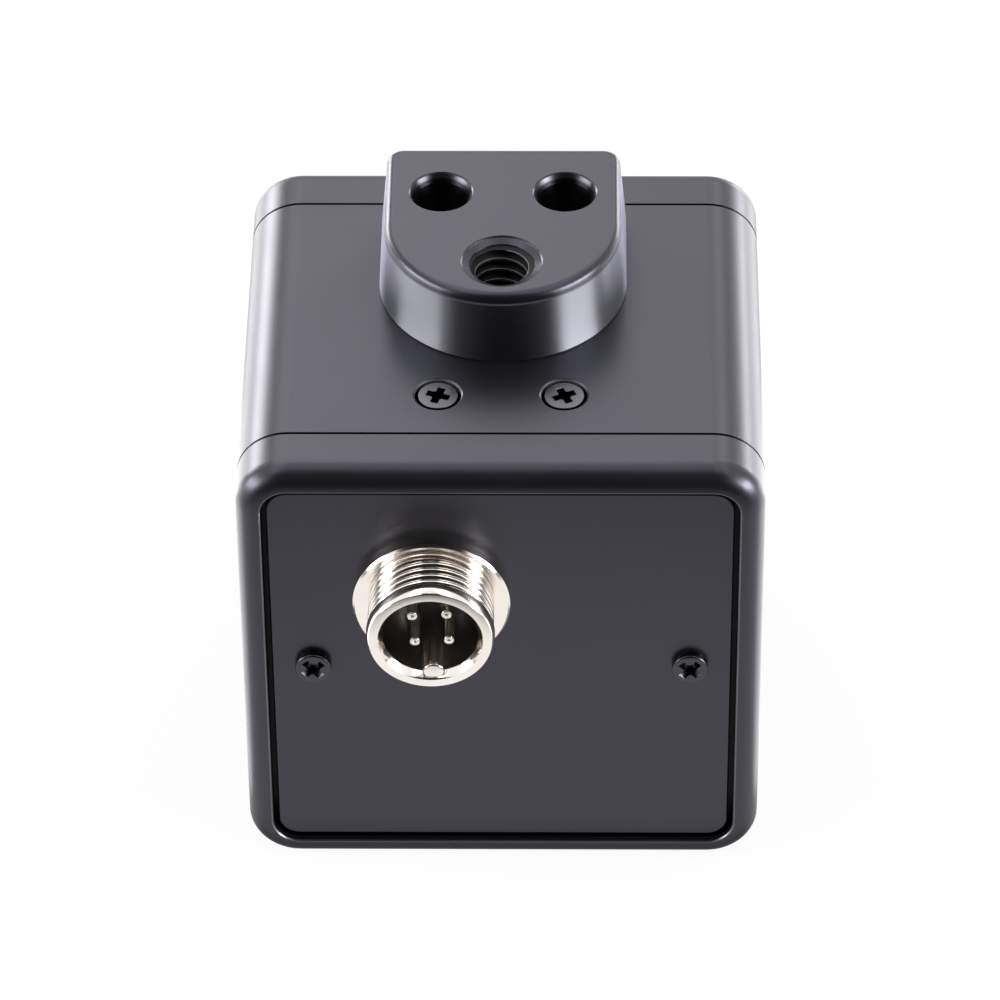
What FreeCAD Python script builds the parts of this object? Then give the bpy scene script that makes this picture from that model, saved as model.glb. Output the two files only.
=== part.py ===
import FreeCAD, Part
import math
import os

import Sketcher

# USB camera in a square aluminium case.
# Frame: origin at the middle of the bottom face, +Z up, +Y towards the lens, lengths in millimetres.

DIMENSIONS = {
    # Case: an extruded sleeve between two end frames
    "case_width": 50.0,
    "case_height": 50.0,
    "case_corner_radius": 5.0,
    "sleeve_length": 35.0,
    "sleeve_wall": 2.4,
    "seam_chamfer": 0.15,
    "frame_length": 6.0,
    "frame_rim": 2.4,
    "frame_land": 0.2,
    "frame_lip_chamfer": 0.1,
    "frame_ledge": 2.6,
    "window_corner_radius": 2.0,
    "spigot_length": 2.0,
    "spigot_wall": 1.2,
    "spigot_clearance": 0.1,
    "ear_radius": 3.2,
    "boss_diameter": 3.8,
    # End plates, set back behind the lip of each frame
    "plate_thickness": 1.5,
    "plate_recess": 0.6,
    "plate_gap": 0.5,
    "plate_chamfer": 0.15,
    "plate_screw_inset": 6.9,
    "plate_screw_rise": 0.5,
    # Pan head screws of the end plates
    "plate_screw_diameter": 2.0,
    "plate_screw_length": 10.0,
    "plate_screw_head_diameter": 3.5,
    "plate_screw_head_height": 0.8,
    "screw_clearance": 0.05,
    "screw_head_chamfer": 0.2,
    # Tripod block and the two screw pairs in the top wall
    "pair_spacing": 12.0,
    "front_pair_inset": 7.75,
    "rear_pair_inset": 5.75,
    "thread_to_pair": 10.75,
    "thread_to_nose": 6.0,
    "pair_to_back": 7.65,
    "block_width": 24.0,
    "block_height": 7.6,
    "block_draft_angle": 5.2,
    "block_corner_radius": 2.3,
    "block_top_radius": 0.85,
    "block_base_chamfer": 0.15,
    "block_floor": 2.0,
    "counterbore_diameter": 5.1,
    "counterbore_mouth_diameter": 6.0,
    "counterbore_mouth_depth": 0.9,
    "tripod_thread_diameter": 6.35,
    "tripod_sink_diameter": 7.6,
    "tripod_sink_depth": 1.05,
    "block_mouth_lip": 0.13,
    "tripod_thread_floor": 1.0,
    "block_screw_diameter": 2.5,
    "block_screw_length": 5.0,
    "block_screw_head_diameter": 4.5,
    "block_screw_head_height": 1.7,
    # Countersunk screws in the rear pair
    "top_screw_length": 4.0,
    "top_screw_head_diameter": 3.8,
    "top_screw_sink": 0.12,
    "countersink_margin": 0.325,
    "countersink_wall": 0.3,
    "countersink_lip": 0.15,
    "countersink_gap": 0.03,
    # Round connector in the rear plate
    "connector_left": 6.6,
    "connector_above": 9.35,
    "connector_turn": 3.5,
    "connector_thread_diameter": 12.0,
    "connector_flange_lip": 1.5,
    "connector_flange_thickness": 1.4,
    "connector_flange_chamfer": 0.2,
    "connector_reach": 5.05,
    "connector_rear_length": 8.0,
    "connector_wall": 1.1,
    "connector_rim_chamfer": 0.35,
    "connector_mouth_chamfer": 0.3,
    "connector_clearance": 0.1,
    "key_radius": 1.0,
    "key_rise": 0.25,
    "key_setback": 0.4,
    "insert_depth": 5.45,
    "insert_rear_length": 7.0,
    "insert_clearance": 0.03,
    "pin_diameter": 1.0,
    "pin_spacing": 3.25,
    "pin_setback": 1.75,
    "pin_tip_chamfer": 0.12,
    "pin_clearance": 0.02,
    "solder_cup_diameter": 1.6,
    "solder_cup_length": 3.5,
    "washer_margin": 1.8,
    "washer_thickness": 0.6,
    "nut_wall": 1.2,
    "nut_thickness": 2.5,
    # Circuit board on four standoffs behind the front plate
    "board_height": 32.0,
    "board_thickness": 1.6,
    "board_corner_radius": 1.5,
    "board_clearance": 0.4,
    "board_hole_inset": 2.2,
    "standoff_length": 13.0,
    "standoff_width": 4.0,
    "standoff_hole_spare": 1.0,
    "board_screw_diameter": 2.0,
    "board_screw_grip": 4.0,
    "board_screw_head_diameter": 3.5,
    "board_screw_head_height": 1.3,
    # Chips, socket and wires on the board
    "sensor_size": 9.0,
    "sensor_height": 1.5,
    "processor_size": 9.0,
    "processor_height": 1.0,
    "processor_below": 6.0,
    "crystal_width": 5.0,
    "crystal_depth": 3.2,
    "crystal_height": 1.3,
    "crystal_corner_radius": 1.2,
    "crystal_gap": 3.0,
    "socket_inset": 3.6,
    "socket_gap": 0.25,
    "socket_width": 10.0,
    "socket_depth": 5.0,
    "socket_height": 4.5,
    "socket_wall": 0.7,
    "socket_floor": 1.0,
    "plug_clearance": 0.05,
    "plug_length": 5.5,
    "wire_diameter": 1.0,
    "wire_pitch": 2.0,
    # Lens holder over the image sensor
    "holder_height": 12.0,
    "holder_wall": 1.45,
    "holder_ear_radius": 2.2,
    "holder_screw_spacing": 17.6,
    "holder_screw_grip": 2.2,
    "holder_hole_spare": 0.4,
    "holder_roof": 0.5,
    "holder_shoulder": 1.0,
    "holder_opening_gap": 0.35,
    "sensor_gap": 1.0,
    "filter_gap": 0.8,
    "filter_thickness": 0.5,
    "filter_clearance": 0.1,
    "aperture_diameter": 7.0,
    # Screw-in lens
    "lens_thread_diameter": 12.0,
    "lens_clearance": 0.05,
    "lens_end_gap": 0.8,
    "lens_head_diameter": 14.0,
    "lens_head_length": 6.0,
    "lens_head_chamfer": 0.3,
    "lens_shoulder_gap": 0.4,
    "lock_ring_thickness": 1.6,
    "lock_ring_wall": 1.0,
    "hood_wall": 0.8,
    "hood_depth": 2.0,
    "glass_diameter": 9.0,
    "glass_clearance": 0.03,
    "glass_lip": 0.9,
    "glass_lip_thickness": 1.0,
    "front_glass_edge": 2.5,
    "rear_glass_edge": 2.5,
    "glass_rim": 0.8,
    "dome_radius": 10.0,
    "lens_ring_wall": 0.6,
    "retaining_ring_thickness": 1.2,
    "grip_count": 24,
    "grip_width": 0.8,
    "grip_depth": 0.25,
    "grip_length": 2.7,
}

# Places that several pieces share, worked out from the sheet
CENTRE = "dim.case_height / 2"
HALF_DEPTH = "(dim.sleeve_length / 2 + dim.frame_length)"
PLATE_FACE = f"({HALF_DEPTH} - dim.plate_recess)"
PLATE_BACK = f"({PLATE_FACE} - dim.plate_thickness)"
PLATE_SEAT = "(dim.plate_recess + dim.plate_thickness)"
SCREW_X = "(dim.case_width / 2 - dim.plate_screw_inset)"
SCREW_Z = f"({CENTRE} + dim.plate_screw_rise)"
PLATE_SCREW_HOLE = "dim.plate_screw_diameter + 2 * dim.screw_clearance"
WINDOW_HALF = "(dim.case_width / 2 - dim.frame_rim - dim.frame_ledge)"
BLOCK_SCREW_HOLE = "dim.block_screw_diameter + 2 * dim.screw_clearance"
FRONT_PAIR_Y = "(dim.sleeve_length / 2 - dim.front_pair_inset)"
REAR_PAIR_Y = "(dim.rear_pair_inset - dim.sleeve_length / 2)"
PAIR_X = "dim.pair_spacing / 2"
THREAD_Y = f"({FRONT_PAIR_Y} - dim.thread_to_pair)"
CONNECTOR_RADIUS = "dim.connector_thread_diameter / 2"
CONNECTOR_BORE = f"({CONNECTOR_RADIUS} - dim.connector_wall)"
CONNECTOR_RIM = "(dim.connector_flange_thickness + dim.connector_reach)"
CONNECTOR_X = "-dim.connector_left"
CONNECTOR_Z = f"{CENTRE} + dim.connector_above"
INSERT_FRONT = f"({CONNECTOR_RIM} - dim.insert_depth)"
CUP_END = "(dim.insert_rear_length + dim.solder_cup_length)"
BOARD_FRONT = f"({PLATE_BACK} - dim.standoff_length)"
BOARD_REAR = f"({BOARD_FRONT} - dim.board_thickness)"
BOARD_WIDTH = f"(2 * ({SCREW_X} - dim.boss_diameter / 2 - dim.board_clearance))"
BOARD_HOLE_X = f"({BOARD_WIDTH} / 2 - dim.board_hole_inset)"
BOARD_HOLE_Z = "(dim.board_height / 2 - dim.board_hole_inset)"
BOARD_SCREW_HOLE = "dim.board_screw_diameter + 2 * dim.screw_clearance"
SOCKET_X = f"dim.socket_width / 2 + dim.socket_gap + dim.board_screw_head_diameter / 2 - {BOARD_HOLE_X}"
SOCKET_Z = f"{CENTRE} + dim.board_height / 2 - dim.socket_inset"
HOLDER_FRONT = f"({BOARD_FRONT} + dim.holder_height)"
HOLDER_BORE = "(dim.lens_thread_diameter / 2 + dim.lens_clearance)"
HOLDER_TUBE = f"({HOLDER_BORE} + dim.holder_wall)"
FILTER_SEAT = "(dim.sensor_height + dim.filter_gap + dim.filter_thickness)"
HOLDER_BASE = f"({FILTER_SEAT} + dim.holder_roof)"
BORE_BOTTOM = f"({HOLDER_BASE} + dim.holder_shoulder)"
SENSOR_POCKET = "(dim.sensor_size + 2 * dim.sensor_gap)"
LENS_TAIL = f"({BORE_BOTTOM} + dim.lens_end_gap - dim.holder_height)"
LENS_SHOULDER = "(dim.lock_ring_thickness + dim.lens_shoulder_gap)"
LENS_FRONT = f"({LENS_SHOULDER} + dim.lens_head_length)"
HOOD_FLOOR = f"({LENS_FRONT} - dim.hood_depth)"
GLASS_RADIUS = "dim.glass_diameter / 2"
REAR_GLASS_SEAT = f"({LENS_TAIL} + dim.glass_lip_thickness)"
SPACER_SEAT = f"({REAR_GLASS_SEAT} + dim.rear_glass_edge)"
RING_SEAT = f"({HOOD_FLOOR} - dim.retaining_ring_thickness)"
FRONT_GLASS_SEAT = f"({RING_SEAT} - dim.front_glass_edge)"

# Directions in which a piece's own Z axis is turned
FACING_UP = FreeCAD.Rotation()
FACING_BACK = FreeCAD.Rotation(FreeCAD.Vector(1, 0, 0), 90)
FACING_FRONT = FreeCAD.Rotation(FreeCAD.Vector(1, 0, 0), -90)
TURNED_ROUND = FreeCAD.Rotation(FreeCAD.Vector(0, 0, 1), 180)
ACROSS_WIDTH = FreeCAD.Vector(1, 0, 0)
ACROSS_HEIGHT = FreeCAD.Vector(0, 0, 1)

PIN_COUNT = "4"
# Share of a wire's straight run that its bend takes
BEND_SHARE = 0.45
TOUCH = 1e-4


# Document and sheet

def make_sheet(document):
    """Spreadsheet with one named cell for each driving dimension."""
    sheet = document.addObject("Spreadsheet::Sheet", "dim")
    for row, (alias, size) in enumerate(DIMENSIONS.items(), 1):
        sheet.set(f"A{row}", alias)
        sheet.set(f"B{row}", str(size))
        sheet.setAlias(f"B{row}", alias)
    document.recompute()
    return sheet


DOC = FreeCAD.newDocument("usb_camera")
SHEET = make_sheet(DOC)


def number(expression):
    """Present value of an expression on the sheet."""
    return float(SHEET.evalExpression(expression))


# Sketch outlines, every size of which is an expression on the sheet

def constrain(sketch, expression, kind, *targets):
    """Dimension in a sketch that follows an expression."""
    index = sketch.addConstraint(Sketcher.Constraint(kind, *targets, number(expression)))
    sketch.setExpression(f"Constraints[{index}]", expression)


def pin_point(sketch, geometry, point, x, y):
    """Fix a point of a sketch at a place given by two expressions."""
    for kind, axis, expression in (("DistanceX", -2, x), ("DistanceY", -1, y)):
        if abs(number(expression)) < TOUCH:
            sketch.addConstraint(Sketcher.Constraint("PointOnObject", geometry, point, axis))
        else:
            constrain(sketch, expression, kind, -1, 1, geometry, point)


def draw_circle(sketch, x, y, diameter):
    """Circle at a place given by two expressions."""
    centre = FreeCAD.Vector(number(x), number(y), 0)
    circle = Part.Circle(centre, FreeCAD.Vector(0, 0, 1), number(diameter) / 2)
    index = sketch.addGeometry(circle)
    constrain(sketch, diameter, "Diameter", index)
    pin_point(sketch, index, 3, x, y)


def draw_polygon(sketch, corners):
    """Closed straight-sided outline through (x, y) pairs of expressions."""
    points = [FreeCAD.Vector(number(x), number(y), 0) for x, y in corners]
    first = sketch.GeometryCount
    count = len(points)
    for index, point in enumerate(points):
        sketch.addGeometry(Part.LineSegment(point, points[(index + 1) % count]))
    for index, (x, y) in enumerate(corners):
        following = first + (index + 1) % count
        sketch.addConstraint(Sketcher.Constraint("Coincident", first + index, 2, following, 1))
        pin_point(sketch, first + index, 1, x, y)


def draw_rectangle(sketch, left, right, bottom, top):
    """Rectangle between four expressions."""
    draw_polygon(sketch, ((left, bottom), (right, bottom), (right, top), (left, top)))


def draw_rounded_rectangle(sketch, width, height, radius):
    """Rectangle with round corners, centred on the sketch's origin."""
    half_x = number(width) / 2
    half_y = number(height) / 2
    corner = number(radius)
    first = sketch.GeometryCount
    for turn in range(4):
        angle = math.radians(90 * turn)
        reach, side = (half_x, half_y) if turn % 2 == 0 else (half_y, half_x)
        turned = FreeCAD.Rotation(FreeCAD.Vector(0, 0, 1), 90 * turn)
        start = turned.multVec(FreeCAD.Vector(reach, corner - side, 0))
        end = turned.multVec(FreeCAD.Vector(reach, side - corner, 0))
        centre = turned.multVec(FreeCAD.Vector(reach - corner, side - corner, 0))
        circle = Part.Circle(centre, FreeCAD.Vector(0, 0, 1), corner)
        sketch.addGeometry(Part.LineSegment(start, end))
        sketch.addGeometry(Part.ArcOfCircle(circle, angle, angle + math.pi / 2))
    for turn in range(4):
        line = first + 2 * turn
        arc = line + 1
        following = first + (2 * turn + 2) % 8
        sketch.addConstraint(Sketcher.Constraint("Tangent", line, 2, arc, 1))
        sketch.addConstraint(Sketcher.Constraint("Tangent", arc, 2, following, 1))
        sketch.addConstraint(Sketcher.Constraint("Vertical" if turn % 2 == 0 else "Horizontal", line))
    for turn in range(1, 4):
        sketch.addConstraint(Sketcher.Constraint("Equal", first + 1, first + 2 * turn + 1))
    sketch.addConstraint(Sketcher.Constraint("Symmetric", first + 1, 3, first + 5, 3, -1, 1))
    constrain(sketch, radius, "Radius", first + 1)
    constrain(sketch, f"({width}) / 2", "DistanceX", -1, 1, first, 1)
    constrain(sketch, f"({height}) / 2", "DistanceY", -1, 1, first + 2, 1)


def draw_tab(sketch, centre_x, centre_y, root_x, diameter):
    """Tab with a round end about a centre that runs straight to root_x."""
    near = number(centre_x)
    middle = number(centre_y)
    far = number(root_x)
    radius = number(diameter) / 2
    circle = Part.Circle(FreeCAD.Vector(near, middle, 0), FreeCAD.Vector(0, 0, 1), radius)
    corners = [FreeCAD.Vector(x, middle + y, 0) for x, y in
               ((near, -radius), (far, -radius), (far, radius), (near, radius))]
    for start, end in zip(corners, corners[1:]):
        sketch.addGeometry(Part.LineSegment(start, end))
    sketch.addGeometry(Part.ArcOfCircle(circle, math.pi / 2, 3 * math.pi / 2))
    for kind, *targets in (
            ("Coincident", 0, 2, 1, 1), ("Coincident", 1, 2, 2, 1),
            ("Tangent", 2, 2, 3, 1), ("Tangent", 3, 2, 0, 1),
            ("Horizontal", 0), ("Horizontal", 2), ("Vertical", 1)):
        sketch.addConstraint(Sketcher.Constraint(kind, *targets))
    pin_point(sketch, 3, 3, centre_x, centre_y)
    constrain(sketch, f"({diameter}) / 2", "Radius", 3)
    constrain(sketch, root_x, "DistanceX", -1, 1, 1, 1)


def draw_nosed_outline(sketch, width, nose, back, corner_radius):
    """Outline with a half-round nose towards -Y and two rounded corners at the back."""
    half = number(width) / 2
    nose_centre = number(nose) + half
    rear = number(back)
    corner = number(corner_radius)
    up = FreeCAD.Vector(0, 0, 1)
    corner_y = rear - corner
    nose_circle = Part.Circle(FreeCAD.Vector(0, nose_centre, 0), up, half)
    right_circle = Part.Circle(FreeCAD.Vector(half - corner, corner_y, 0), up, corner)
    left_circle = Part.Circle(FreeCAD.Vector(corner - half, corner_y, 0), up, corner)
    outline = (
        Part.ArcOfCircle(nose_circle, math.pi, 2 * math.pi),
        Part.LineSegment(FreeCAD.Vector(half, nose_centre, 0), FreeCAD.Vector(half, corner_y, 0)),
        Part.ArcOfCircle(right_circle, 0, math.pi / 2),
        Part.LineSegment(FreeCAD.Vector(half - corner, rear, 0), FreeCAD.Vector(corner - half, rear, 0)),
        Part.ArcOfCircle(left_circle, math.pi / 2, math.pi),
        Part.LineSegment(FreeCAD.Vector(-half, corner_y, 0), FreeCAD.Vector(-half, nose_centre, 0)),
    )
    for edge in outline:
        sketch.addGeometry(edge)
    for index in range(len(outline)):
        following = (index + 1) % len(outline)
        sketch.addConstraint(Sketcher.Constraint("Tangent", index, 2, following, 1))
    sketch.addConstraint(Sketcher.Constraint("Vertical", 1))
    sketch.addConstraint(Sketcher.Constraint("Vertical", 5))
    sketch.addConstraint(Sketcher.Constraint("Horizontal", 3))
    sketch.addConstraint(Sketcher.Constraint("Equal", 2, 4))
    constrain(sketch, f"({width}) / 2", "Radius", 0)
    constrain(sketch, corner_radius, "Radius", 2)
    pin_point(sketch, 0, 3, "0", f"({nose}) + ({width}) / 2")
    constrain(sketch, back, "DistanceY", -1, 1, 3, 1)


def draw_domed_disc(sketch, radius, edge, dome_half, dome_radius):
    """Half section of a lens: a flat rim of the edge's height and a spherical dome inside it."""
    outer = number(radius)
    rim = number(edge)
    inner = number(dome_half)
    ball = number(dome_radius)
    ball_height = rim - math.sqrt(ball ** 2 - inner ** 2)
    points = [FreeCAD.Vector(x, y, 0) for x, y in
              ((0, ball_height + ball), (0, 0), (outer, 0), (outer, rim), (inner, rim))]
    for start, end in zip(points, points[1:]):
        sketch.addGeometry(Part.LineSegment(start, end))
    circle = Part.Circle(FreeCAD.Vector(0, ball_height, 0), FreeCAD.Vector(0, 0, 1), ball)
    dome_start = math.acos(inner / ball)
    sketch.addGeometry(Part.ArcOfCircle(circle, dome_start, math.pi / 2))
    for index in range(3):
        sketch.addConstraint(Sketcher.Constraint("Coincident", index, 2, index + 1, 1))
    sketch.addConstraint(Sketcher.Constraint("Coincident", 3, 2, 4, 1))
    sketch.addConstraint(Sketcher.Constraint("Coincident", 4, 2, 0, 1))
    sketch.addConstraint(Sketcher.Constraint("PointOnObject", 0, 1, -2))
    sketch.addConstraint(Sketcher.Constraint("Coincident", 0, 2, -1, 1))
    pin_point(sketch, 2, 1, radius, "0")
    pin_point(sketch, 3, 1, radius, edge)
    pin_point(sketch, 3, 2, dome_half, edge)
    sketch.addConstraint(Sketcher.Constraint("PointOnObject", 4, 3, -2))
    constrain(sketch, dome_radius, "Radius", 4)


# Bodies and their features

def new_body(label):
    """Empty body that carries its sub-part's name."""
    body = DOC.addObject("PartDesign::Body", label)
    body.Label = label
    return body


def origin_feature(body, role):
    """Plane or axis of the body's own origin."""
    return next(feature for feature in body.Origin.OriginFeatures if feature.Role == role)


def new_sketch(body, role, name, **offsets):
    """Sketch on an origin plane, moved along its own x, y and z by expressions."""
    sketch = body.newObject("Sketcher::SketchObject", name)
    sketch.AttachmentSupport = (origin_feature(body, role), [""])
    sketch.MapMode = "FlatFace"
    for axis, expression in offsets.items():
        sketch.setExpression(f"AttachmentOffset.Base.{axis}", expression)
    return sketch


def add_pad(body, sketch, length, both_ways=False, backwards=False, taper=None):
    """Extrude a sketch by a length."""
    pad = body.newObject("PartDesign::Pad", sketch.Name + "_pad")
    pad.Profile = sketch
    pad.setExpression("Length", length)
    pad.SideType = "Symmetric" if both_ways else "One side"
    pad.Reversed = backwards
    if taper:
        pad.setExpression("TaperAngle", taper)
    DOC.recompute()
    return pad


def check_cut(body, volume_before):
    """Stop if the last cut took nothing away."""
    DOC.recompute()
    if body.Tip.Shape.Volume > volume_before - TOUCH:
        raise RuntimeError(f"{body.Tip.Name} cuts nothing")


def add_pocket(body, sketch, length=None, both_ways=False, backwards=False):
    """Cut a sketch into the body, right through where no length is given."""
    volume = body.Tip.Shape.Volume
    pocket = body.newObject("PartDesign::Pocket", sketch.Name + "_pocket")
    pocket.Profile = sketch
    if length is None:
        pocket.Type = "ThroughAll"
    else:
        pocket.setExpression("Length", length)
    pocket.SideType = "Symmetric" if both_ways else "One side"
    pocket.Reversed = backwards
    check_cut(body, volume)
    return pocket


def add_turning(body, sketch, kind="Revolution"):
    """Full turn of a sketch about its own vertical axis."""
    turning = body.newObject("PartDesign::" + kind, sketch.Name + "_turning")
    turning.Profile = sketch
    turning.ReferenceAxis = (sketch, ["V_Axis"])
    turning.Angle = 360
    DOC.recompute()
    return turning


def add_mirror(body, feature):
    """Copy of a feature on the other side of the body's YZ plane."""
    mirror = body.newObject("PartDesign::Mirrored", feature.Name + "_mirror")
    mirror.Originals = [feature]
    mirror.MirrorPlane = (origin_feature(body, "YZ_Plane"), [""])
    body.Tip = mirror
    DOC.recompute()


def add_ring_of(body, feature, count):
    """Copies of a feature spaced evenly around the body's Z axis."""
    pattern = body.newObject("PartDesign::PolarPattern", feature.Name + "_ring")
    pattern.Originals = [feature]
    pattern.Axis = (origin_feature(body, "Z_Axis"), [""])
    pattern.Angle = 360
    pattern.setExpression("Occurrences", count)
    body.Tip = pattern
    DOC.recompute()


def dress_edges(body, kind, size, wanted):
    """Fillet or chamfer on the edges of the body that the test picks."""
    base = body.Tip
    names = [f"Edge{index}" for index, edge in enumerate(base.Shape.Edges, 1) if wanted(edge)]
    if not names:
        raise RuntimeError(f"{body.Label} has no edge for its {kind}")
    feature = body.newObject("PartDesign::" + kind, f"{body.Label}_{kind.lower()}")
    feature.Base = (base, names)
    feature.setExpression("Radius" if kind == "Fillet" else "Size", size)
    DOC.recompute()


def lies_at(edge, axis, place):
    """True where the whole edge lies at one place along an axis."""
    box = edge.BoundBox
    low, high = getattr(box, axis + "Min"), getattr(box, axis + "Max")
    return abs(low - place) < TOUCH and abs(high - place) < TOUCH


def on_case_outline(edge, width, height, radius):
    """True where an edge in an XZ plane follows a rounded rectangle about the case's axis."""
    middle = edge.valueAt((edge.FirstParameter + edge.LastParameter) / 2)
    beyond_x = abs(middle.x) - width / 2 + radius
    beyond_z = abs(middle.z) - height / 2 + radius
    corner = math.hypot(max(beyond_x, 0), max(beyond_z, 0))
    inside = min(max(beyond_x, beyond_z), 0)
    return abs(corner + inside - radius) < TOUCH


def put(piece, x="0", y="0", z="0", rotation=FACING_UP):
    """Place a piece by expressions and a fixed turn."""
    piece.Placement = FreeCAD.Placement(FreeCAD.Vector(number(x), number(y), number(z)), rotation)
    for axis, expression in (("x", x), ("y", y), ("z", z)):
        piece.setExpression(f"Placement.Base.{axis}", expression)
    return piece


def turned_body(label, profile):
    """Body of revolution about its own Z axis; the profile lists (radius, height) expressions."""
    body = new_body(label)
    sketch = new_sketch(body, "XZ_Plane", label + "_profile")
    draw_polygon(sketch, profile)
    add_turning(body, sketch)
    return body


def flat_body(label, width, height, depth, corner_radius=None, backwards=False):
    """Flat block about the Y axis, thick towards -Y, or towards +Y if backwards."""
    body = new_body(label)
    sketch = new_sketch(body, "XZ_Plane", label + "_outline")
    if corner_radius:
        draw_rounded_rectangle(sketch, width, height, corner_radius)
    else:
        draw_rectangle(sketch, f"-({width}) / 2", f"({width}) / 2", f"-({height}) / 2", f"({height}) / 2")
    add_pad(body, sketch, depth, backwards=backwards)
    return body


def mirrored_set(label, source, normals):
    """The source and its mirror images about the case's axis, as separate solids of one sub-part."""
    members = [source]
    for normal in normals:
        for member in list(members):
            image = DOC.addObject("Part::Mirroring", label + "_image")
            image.Source = member
            image.Normal = normal
            image.setExpression("Base.z", CENTRE)
            members.append(image)
    group = DOC.addObject("Part::Compound", label)
    group.Label = label
    group.Links = members
    return group


def pan_screw(label, size, length):
    """Pan head screw, the underside of its head at z = 0; size names its cells on the sheet."""
    radius = f"dim.{size}_diameter / 2"
    head = f"dim.{size}_head_diameter / 2"
    top = f"dim.{size}_head_height"
    edge = "dim.screw_head_chamfer"
    return turned_body(label, (
        ("0", f"-({length})"), (radius, f"-({length})"), (radius, "0"), (head, "0"),
        (head, f"{top} - {edge}"), (f"{head} - {edge}", top), ("0", top)))


# Case

def make_body_sleeve():
    """Square tube with a screw channel inside each side wall."""
    body = new_body("body_sleeve")
    section = new_sketch(body, "XZ_Plane", "sleeve_section")
    draw_rounded_rectangle(section, "dim.case_width", "dim.case_height", "dim.case_corner_radius")
    draw_rounded_rectangle(section, "dim.case_width - 2 * dim.sleeve_wall",
                           "dim.case_height - 2 * dim.sleeve_wall",
                           "dim.case_corner_radius - dim.sleeve_wall")
    add_pad(body, section, "dim.sleeve_length", both_ways=True)
    boss = new_sketch(body, "XZ_Plane", "sleeve_boss")
    wall_middle = "dim.case_width / 2 - dim.sleeve_wall / 2"
    draw_tab(boss, SCREW_X, "dim.plate_screw_rise", wall_middle, "dim.boss_diameter")
    add_mirror(body, add_pad(body, boss, "dim.sleeve_length", both_ways=True))
    channel = new_sketch(body, "XZ_Plane", "sleeve_channel")
    for side in ("", "-"):
        draw_circle(channel, side + SCREW_X, "dim.plate_screw_rise", PLATE_SCREW_HOLE)
    add_pocket(body, channel, both_ways=True)
    end = number("dim.sleeve_length / 2")
    outline = [number(f"dim.case_{size}") for size in ("width", "height", "corner_radius")]
    dress_edges(body, "Chamfer", "dim.seam_chamfer", lambda edge: on_case_outline(edge, *outline)
                and (lies_at(edge, "Y", end) or lies_at(edge, "Y", -end)))
    add_top_holes(body)
    return put(body, z=CENTRE)


def add_top_holes(body):
    """Two pairs of tapped holes in the top wall, the rear pair countersunk below a short straight wall."""
    holes = new_sketch(body, "XY_Plane", "top_holes", z="dim.case_height / 2")
    for side in ("", "-"):
        for pair_y in (FRONT_PAIR_Y, REAR_PAIR_Y):
            draw_circle(holes, f"{side}({PAIR_X})", pair_y, BLOCK_SCREW_HOLE)
    add_pocket(body, holes, "2 * dim.sleeve_wall")
    mouth = "(dim.top_screw_head_diameter / 2 + dim.countersink_margin)"
    hole = f"({BLOCK_SCREW_HOLE}) / 2"
    add_mirror(body, add_countersink(body, (
        (f"{mouth} + dim.countersink_lip", "0"), (mouth, "-dim.countersink_lip"),
        (mouth, "-dim.countersink_wall"), (hole, f"{hole} - {mouth} - dim.countersink_wall")),
        x=PAIR_X, y=REAR_PAIR_Y, top="dim.case_height / 2"))


def add_countersink(body, outline, x, y, top):
    """Round cut at the mouth of a hole, its outline given from the top down as radii and heights."""
    sink = new_sketch(body, "XZ_Plane", body.Label + "_countersink", x=x, y=top, z=f"-({y})")
    draw_polygon(sink, (("0", "0"), *outline, ("0", outline[-1][1])))
    volume = body.Tip.Shape.Volume
    groove = add_turning(body, sink, "Groove")
    check_cut(body, volume)
    return groove


def make_frame(label):
    """End ring: its outer face at y = 0, a seat for the plate, two screw ears and a spigot."""
    body = new_body(label)
    section = new_sketch(body, "XZ_Plane", label + "_section")
    draw_rounded_rectangle(section, "dim.case_width", "dim.case_height", "dim.case_corner_radius")
    draw_rounded_rectangle(section, f"2 * {WINDOW_HALF}",
                           "dim.case_height - 2 * dim.frame_rim - 2 * dim.frame_ledge",
                           "dim.window_corner_radius")
    add_pad(body, section, "dim.frame_length", backwards=True)
    seat = new_sketch(body, "XZ_Plane", label + "_seat")
    draw_rounded_rectangle(seat, "dim.case_width - 2 * dim.frame_rim", "dim.case_height - 2 * dim.frame_rim",
                           "dim.case_corner_radius - dim.frame_rim")
    add_pocket(body, seat, PLATE_SEAT)
    ear = new_sketch(body, "XZ_Plane", label + "_ear", z=f"-{PLATE_SEAT}")
    ledge_middle = f"{WINDOW_HALF} + dim.frame_ledge / 2"
    draw_tab(ear, SCREW_X, "dim.plate_screw_rise", ledge_middle, "2 * dim.ear_radius")
    add_mirror(body, add_pad(body, ear, f"dim.frame_length - {PLATE_SEAT}", backwards=True))
    holes = new_sketch(body, "XZ_Plane", label + "_holes")
    for side in ("", "-"):
        draw_circle(holes, side + SCREW_X, "dim.plate_screw_rise", PLATE_SCREW_HOLE)
    add_pocket(body, holes, "dim.frame_length")
    add_spigot(body)
    outline = [number(f"dim.case_{size}") for size in ("width", "height", "corner_radius")]
    lip = [number(f"dim.case_{size} - {share} * dim.frame_rim")
           for size, share in (("width", 2), ("height", 2), ("corner_radius", 1))]
    dress_edges(body, "Fillet", "dim.frame_rim - dim.frame_land",
                lambda edge: lies_at(edge, "Y", 0) and on_case_outline(edge, *outline))
    seam = number("dim.frame_length")
    dress_edges(body, "Chamfer", "dim.seam_chamfer",
                lambda edge: lies_at(edge, "Y", seam) and on_case_outline(edge, *outline))
    dress_edges(body, "Chamfer", "dim.frame_lip_chamfer",
                lambda edge: lies_at(edge, "Y", 0) and on_case_outline(edge, *lip))
    return body


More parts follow.
